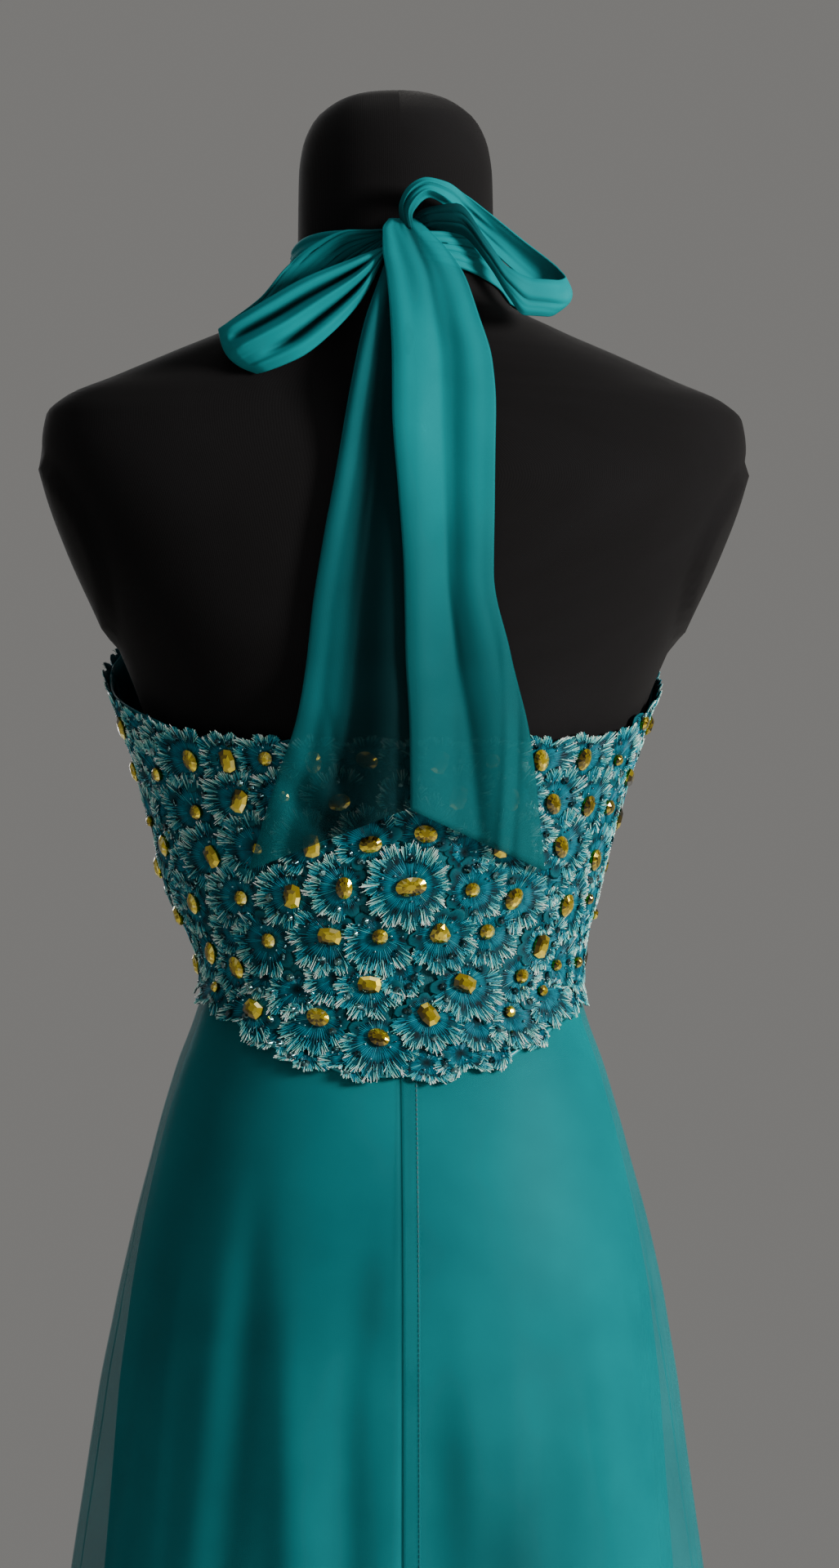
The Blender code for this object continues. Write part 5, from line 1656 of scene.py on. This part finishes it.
def makeLoop(label, table, folds, backGathers, form, spec=bowSpec):
    rows, columns = spec["loopSteps"]
    along, share = sharesOf(spec["loopSteps"])
    at = alongTable(table, loopColumns, rows)
    x, z = acrossTable(at, "upperX", "lowerX", share), acrossTable(at, "upperZ", "lowerZ", share)
    side = np.where(at["out"] >= 0, 1.0, -1.0)[:, None]
    far = np.minimum(1, np.abs(at["out"]) / (4 * mm))[:, None]
    crown = spec["crown"] * np.sin(math.pi * share) * far
    ripple = gathers(along, share, 0, 3.5, 1.0 * mm, 0.14, 1) + gathers(along, share, 1, *backGathers, 2)
    for near, end, width, height, first, last in folds:
        held = easedStep(first, first + 0.08, along) * easedStep(last, last - 0.10, along)
        place = near + (end - near) * (along - first) / (last - first)
        ripple = ripple + height * mm * held * bump(share, place, width)
    y = at["out"][:, None] + side * (crown + ripple * (0.3 + 0.7 * far))
    outX, outZ = at["upperX"] + at["lowerX"], at["upperZ"] + at["lowerZ"]
    tip = np.argmax(np.hypot(outX, outZ))
    rounded = spec["tipRound"] * bump(along, tip / (rows - 1), 0.09) * np.sin(math.pi * share)
    x = x + rounded * outX[tip] / np.hypot(outX[tip], outZ[tip])
    z = z + rounded * outZ[tip] / np.hypot(outX[tip], outZ[tip])
    centre = knotCentre()
    points = keptOff(form, np.stack([x + centre.x, y + centre.y, z + centre.z], axis=-1), spec["gap"])
    points = broughtOver(points, "bow_loop_" + label.lower())
    # Painted shade: the table's own, and darker in the folds' hollows
    paintedShade = at["paintedShade"][:, None] + 0.7 * np.clip(-ripple / spec["deepFold"], 0, 1)
    piece = clothSheet("bowLoop" + label, points, spec["wall"], finishes["loopChiffon"],
                       np.clip(paintedShade, 0, 1))
    settle(piece, "teal_chiffon", "bow_loop_" + label.lower())


# Long soft folds of each tail: place across it (0 to 1), half width, height in millimetres, sway
foldsRight = (
    (0.05, 0.10, 1.8, 0.4),
    (0.34, 0.12, 1.2, 1.1),
    (0.52, 0.06, -1.6, 2.2),
    (0.72, 0.10, 1.2, 0.7),
    (0.92, 0.06, -0.8, 1.6),
)
foldsLeft = (
    (0.00, 0.13, 4.6, 0.9),
    (0.22, 0.07, -1.8, 2.0),
    (0.40, 0.05, 0.8, 0.2),
    (0.48, 0.04, -0.9, 1.4),
    (0.74, 0.20, 2.6, 2.5),
)
# Creases over the tails' corners: place across and along at the start and the end, half width, height in mm
cornersRight = (
    (0.74, 1.00, 1.00, 0.84, 0.020, -2.2),
    (0.66, 1.00, 1.00, 0.77, 0.018, 1.4),
)
cornersLeft = (
    (0.00, 0.87, 0.52, 1.00, 0.020, -2.6),
    (0.00, 0.82, 0.60, 0.97, 0.018, 1.6),
    (0.20, 0.74, 0.62, 0.99, 0.018, -1.4),
)


def cornerCreases(along, share, corners):
    made = 0
    for fromShare, fromAlong, toShare, toAlong, width, height in corners:
        acrossBy, alongBy = toShare - fromShare, toAlong - fromAlong
        off = (share - fromShare) * alongBy - (along - fromAlong) * acrossBy
        held = easedStep(min(fromAlong, toAlong) - 0.06, 0.97, along)
        made = made + height * mm * bump(off / math.hypot(acrossBy, alongBy), 0, width) * held
    return made


def tailPaintedShade(label, along, share):      # painted shade: at the knot, and over the ends where shadow falls
    paintedShade = 0.25 * easedStep(0.08, 0.0, along) + share * 0
    if label == "Left":
        return paintedShade + 0.16 + 0.76 * easedStep(0.16, 0.46, share + 0.05 * np.sin(7 * along))
    paintedShade = paintedShade + 0.85 * bump(share, 0.62 - 0.30 * along, 0.09) * easedStep(0.44, 0.06, along)
    return paintedShade + 0.62 * easedStep(0.50, 0.88, along)


def makeTail(label, table, folds, corners, over, offKnot, spec=bowSpec):
    rows, columns = spec["tailSteps"]
    along, share = sharesOf(spec["tailSteps"])
    at = alongTable(table, tailColumns, rows)
    centre = knotCentre()
    x = acrossTable(at, "leftX", "rightX", share) + centre.x
    z = acrossTable(at, "leftZ", "rightZ", share) + centre.z
    clear = spec["tailOffForm"] + spec["tailOffStones"] * easedStep(1.270, 1.236, z)
    clear = clear + over * easedStep(-0.030, -0.006, x)      # over the other end, towards the middle
    lying = backY(x, z) + clear
    drop = np.clip((centre.z - z) / spec["hang"], 0, 1)
    knotFront = centre.y + spec["knotHalf"][1] * mm + offKnot
    hung = knotFront + (backY(x * 0, centre.z - spec["hang"]) + clear - knotFront) * drop
    blend = easedStep(0.5, 1.0, drop)
    y = np.maximum(hung, lying) * (1 - blend) + lying * blend
    y = np.where(drop < 0.25, np.maximum(y, knotFront), y)
    up = np.clip((z - centre.z) / ((spec["knotHalf"][2] + 1.5) * mm), 0, 1)      # and over the knot's top
    y = y - (1 - np.sqrt(1 - up**2)) * spec["knotHalf"][1] * mm
    y = y + spec["lean"] * (label == "Left") * share * easedStep(0.1, 0.4, drop)
    fold = spec["tailFold"] * np.sin(turn * share * 1.5 + 0.6) * easedStep(0.1, 0.4, drop)
    fold = fold + gathers(along, share, 0, 3.0, 0.8 * mm, 0.14, 3)
    for place, width, height, sway in folds:
        wander = place + 0.05 * np.sin(4 * along + sway)
        depth = height * mm * easedStep(0.02, 0.25, along) * (0.7 + 0.3 * np.sin(6 * along + sway))
        fold = fold + depth * bump(share, wander, width)
    fold = fold + cornerCreases(along, share, corners)
    points = np.stack([x, y + fold, z], axis=-1)[:, ::-1]
    piece = clothSheet("tieEnd" + label, points, spec["wall"], finishes[label.lower() + "Chiffon"],
                       np.clip(tailPaintedShade(label, along, share), 0, 1)[:, ::-1])
    settle(piece, "teal_chiffon", "tie_end_" + label.lower())


def makeStrap(label, side, form, spec=bowSpec):
    rows, columns = spec["strapSteps"]
    along, share = sharesOf(spec["strapSteps"])
    at = alongTable(strapPath, strapColumns, rows, 1)
    middle = np.stack([at["x"] * side, at["y"], at["z"]], axis=-1)
    lines, normals = [], []
    for i, place in enumerate(middle):
        ahead = Vector(middle[min(i + 1, rows - 1)] - middle[max(i - 1, 0)]).normalized()
        normal = form.find_nearest(Vector(place))[1]
        across = ahead.cross(normal).normalized() if i else Vector((side, 0, 0))
        if i and across.dot(lines[-1][0] - lines[-1][-1]) < 0:
            across = -across
        half = at["width"][i] / 2
        lines.append([Vector(place) + across * half * (1 - k) for k in np.linspace(0, 2, columns)])
        normals.append([tuple(normal)] * columns)
    grid = keptOff(form, np.array([[tuple(p) for p in line] for line in lines]), spec["strapGap"])
    ripple = 0.8 * mm * (1 + np.sin(turn * (4.2 * share + 0.3 * np.sin(3 * along))))
    ripple = ripple * (0.45 + 0.55 * np.abs(2 * along - 1))      # deeper at the cup and at the nape
    ripple = ripple + 0.3 * mm * (1 + np.sin(turn * 9 * share + 8 * along))
    grid = grid + np.array(normals) * ripple[..., None] * np.sin(math.pi * share)[..., None] ** 0.3
    if side > 0:
        grid = grid[:, ::-1]
    # a light, even painted shade on the strap
    piece = clothSheet("halterStrap" + label, grid, spec["wall"], finishes["loopChiffon"],
                       np.full(grid.shape[:2], 0.1))
    settle(piece, "teal_chiffon", "halter_strap_" + label.lower())


form = treeOf(bpy.data.objects["dressForm"])
makeKnot()
makeLoop("Left", loopLeft, foldsOfLeftLoop, (8.0, 1.4 * mm, 0.40), form)
makeLoop("Right", loopRight, foldsOfRightLoop, (2.5, 0.7 * mm, 0.45), form)
makeTail("Left", tailLeft, foldsLeft, cornersLeft, 0.0, -1.2 * mm)
makeTail("Right", tailRight, foldsRight, cornersRight, 11 * mm, 1.5 * mm)
makeStrap("Left", 1, form)
makeStrap("Right", -1, form)
print("bow and straps: done")


# Floor, soft studio light and the camera of the photograph

stageSpec = {
    "floor": 8.0,
    "skyStrength": 0.24,
    "litZ": 1.2,               # the lamps point at this height
    "pixel": 0.485 * mm,
    "azimuth": math.radians(176.2),
    "distance": 2.6,
    "aside": 33,               # pixels that the photograph's middle lies to the right of the gown's axis
    "lookZ": 1.1988,
    "frameHeight": 0.931,      # what the picture takes in from top to bottom, at the gown
    "roll": 0.0059,
}
# Lamps: name, place, half size, power, colour
lamps = (
    ("keyLamp", (-2.4, 1.6, 1.9), 0.4, 165, "#FFFAF4"),
    ("fillLamp", (1.8, 2.0, 1.2), 1.0, 3, "#E6F0FF"),
    ("frontLamp", (0.4, -2.4, 2.0), 1.0, 34, "#FFFFFF"),
    ("topLamp", (0.0, 0.3, 3.2), 0.9, 9, "#FFFFFF"),
)


def makeStage(spec):
    half = spec["floor"] / 2
    mesh = bpy.data.meshes.new("floor")
    corners = [(-half, -half, 0), (half, -half, 0), (half, half, 0), (-half, half, 0)]
    mesh.from_pydata(corners, [], [(0, 1, 2, 3)])
    pale = newMaterial("paleStudioFloor", Roughness=0.85, Base_Color=srgb("#D4D2CE"))[0]
    addPiece("floor", mesh, pale, smooth=False)
    world = bpy.data.worlds.new("studio")
    world.use_nodes = True
    sky = world.node_tree.nodes["Background"]
    sky.inputs["Color"].default_value = srgb("#E8E6E2")
    sky.inputs["Strength"].default_value = spec["skyStrength"]
    bpy.context.scene.world = world
    target = Vector((0, 0, spec["litZ"]))
    for name, place, size, power, colour in lamps:
        light = bpy.data.lights.new(name, "AREA")
        light.shape, light.size, light.energy = "DISK", 2 * size, power
        light.color = srgb(colour)[:3]
        made = bpy.data.objects.new(name, light)
        made.location = place
        made.rotation_euler = (target - Vector(place)).to_track_quat("-Z", "Y").to_euler()
        bpy.context.scene.collection.objects.link(made)


def makeCamera(spec):
    a = spec["azimuth"]
    back = Vector((math.sin(a), -math.cos(a), 0))
    right = Vector((0, 0, 1)).cross(back)
    centre = right * spec["aside"] * spec["pixel"] + Vector((0, 0, spec["lookZ"]))
    lens = bpy.data.cameras.new("photoCamera")
    lens.lens = lens.sensor_width / 2 / (spec["frameHeight"] / 2 / spec["distance"])
    lens.clip_end = 20
    made = bpy.data.objects.new("photoCamera", lens)
    up = Vector((0, 0, 1))
    stood = Matrix((right, up, back)).transposed() @ Matrix.Rotation(spec["roll"], 3, "Z")
    made.matrix_world = Matrix.Translation(centre + back * spec["distance"]) @ stood.to_4x4()
    bpy.context.scene.collection.objects.link(made)
    bpy.context.scene.camera = made


makeStage(stageSpec)
makeCamera(stageSpec)
for group in list(parts.children):
    for helper in list(group.objects):
        bpy.data.objects.remove(helper)
    bpy.data.collections.remove(group)
bpy.data.collections.remove(parts)
print("stage and camera: done")
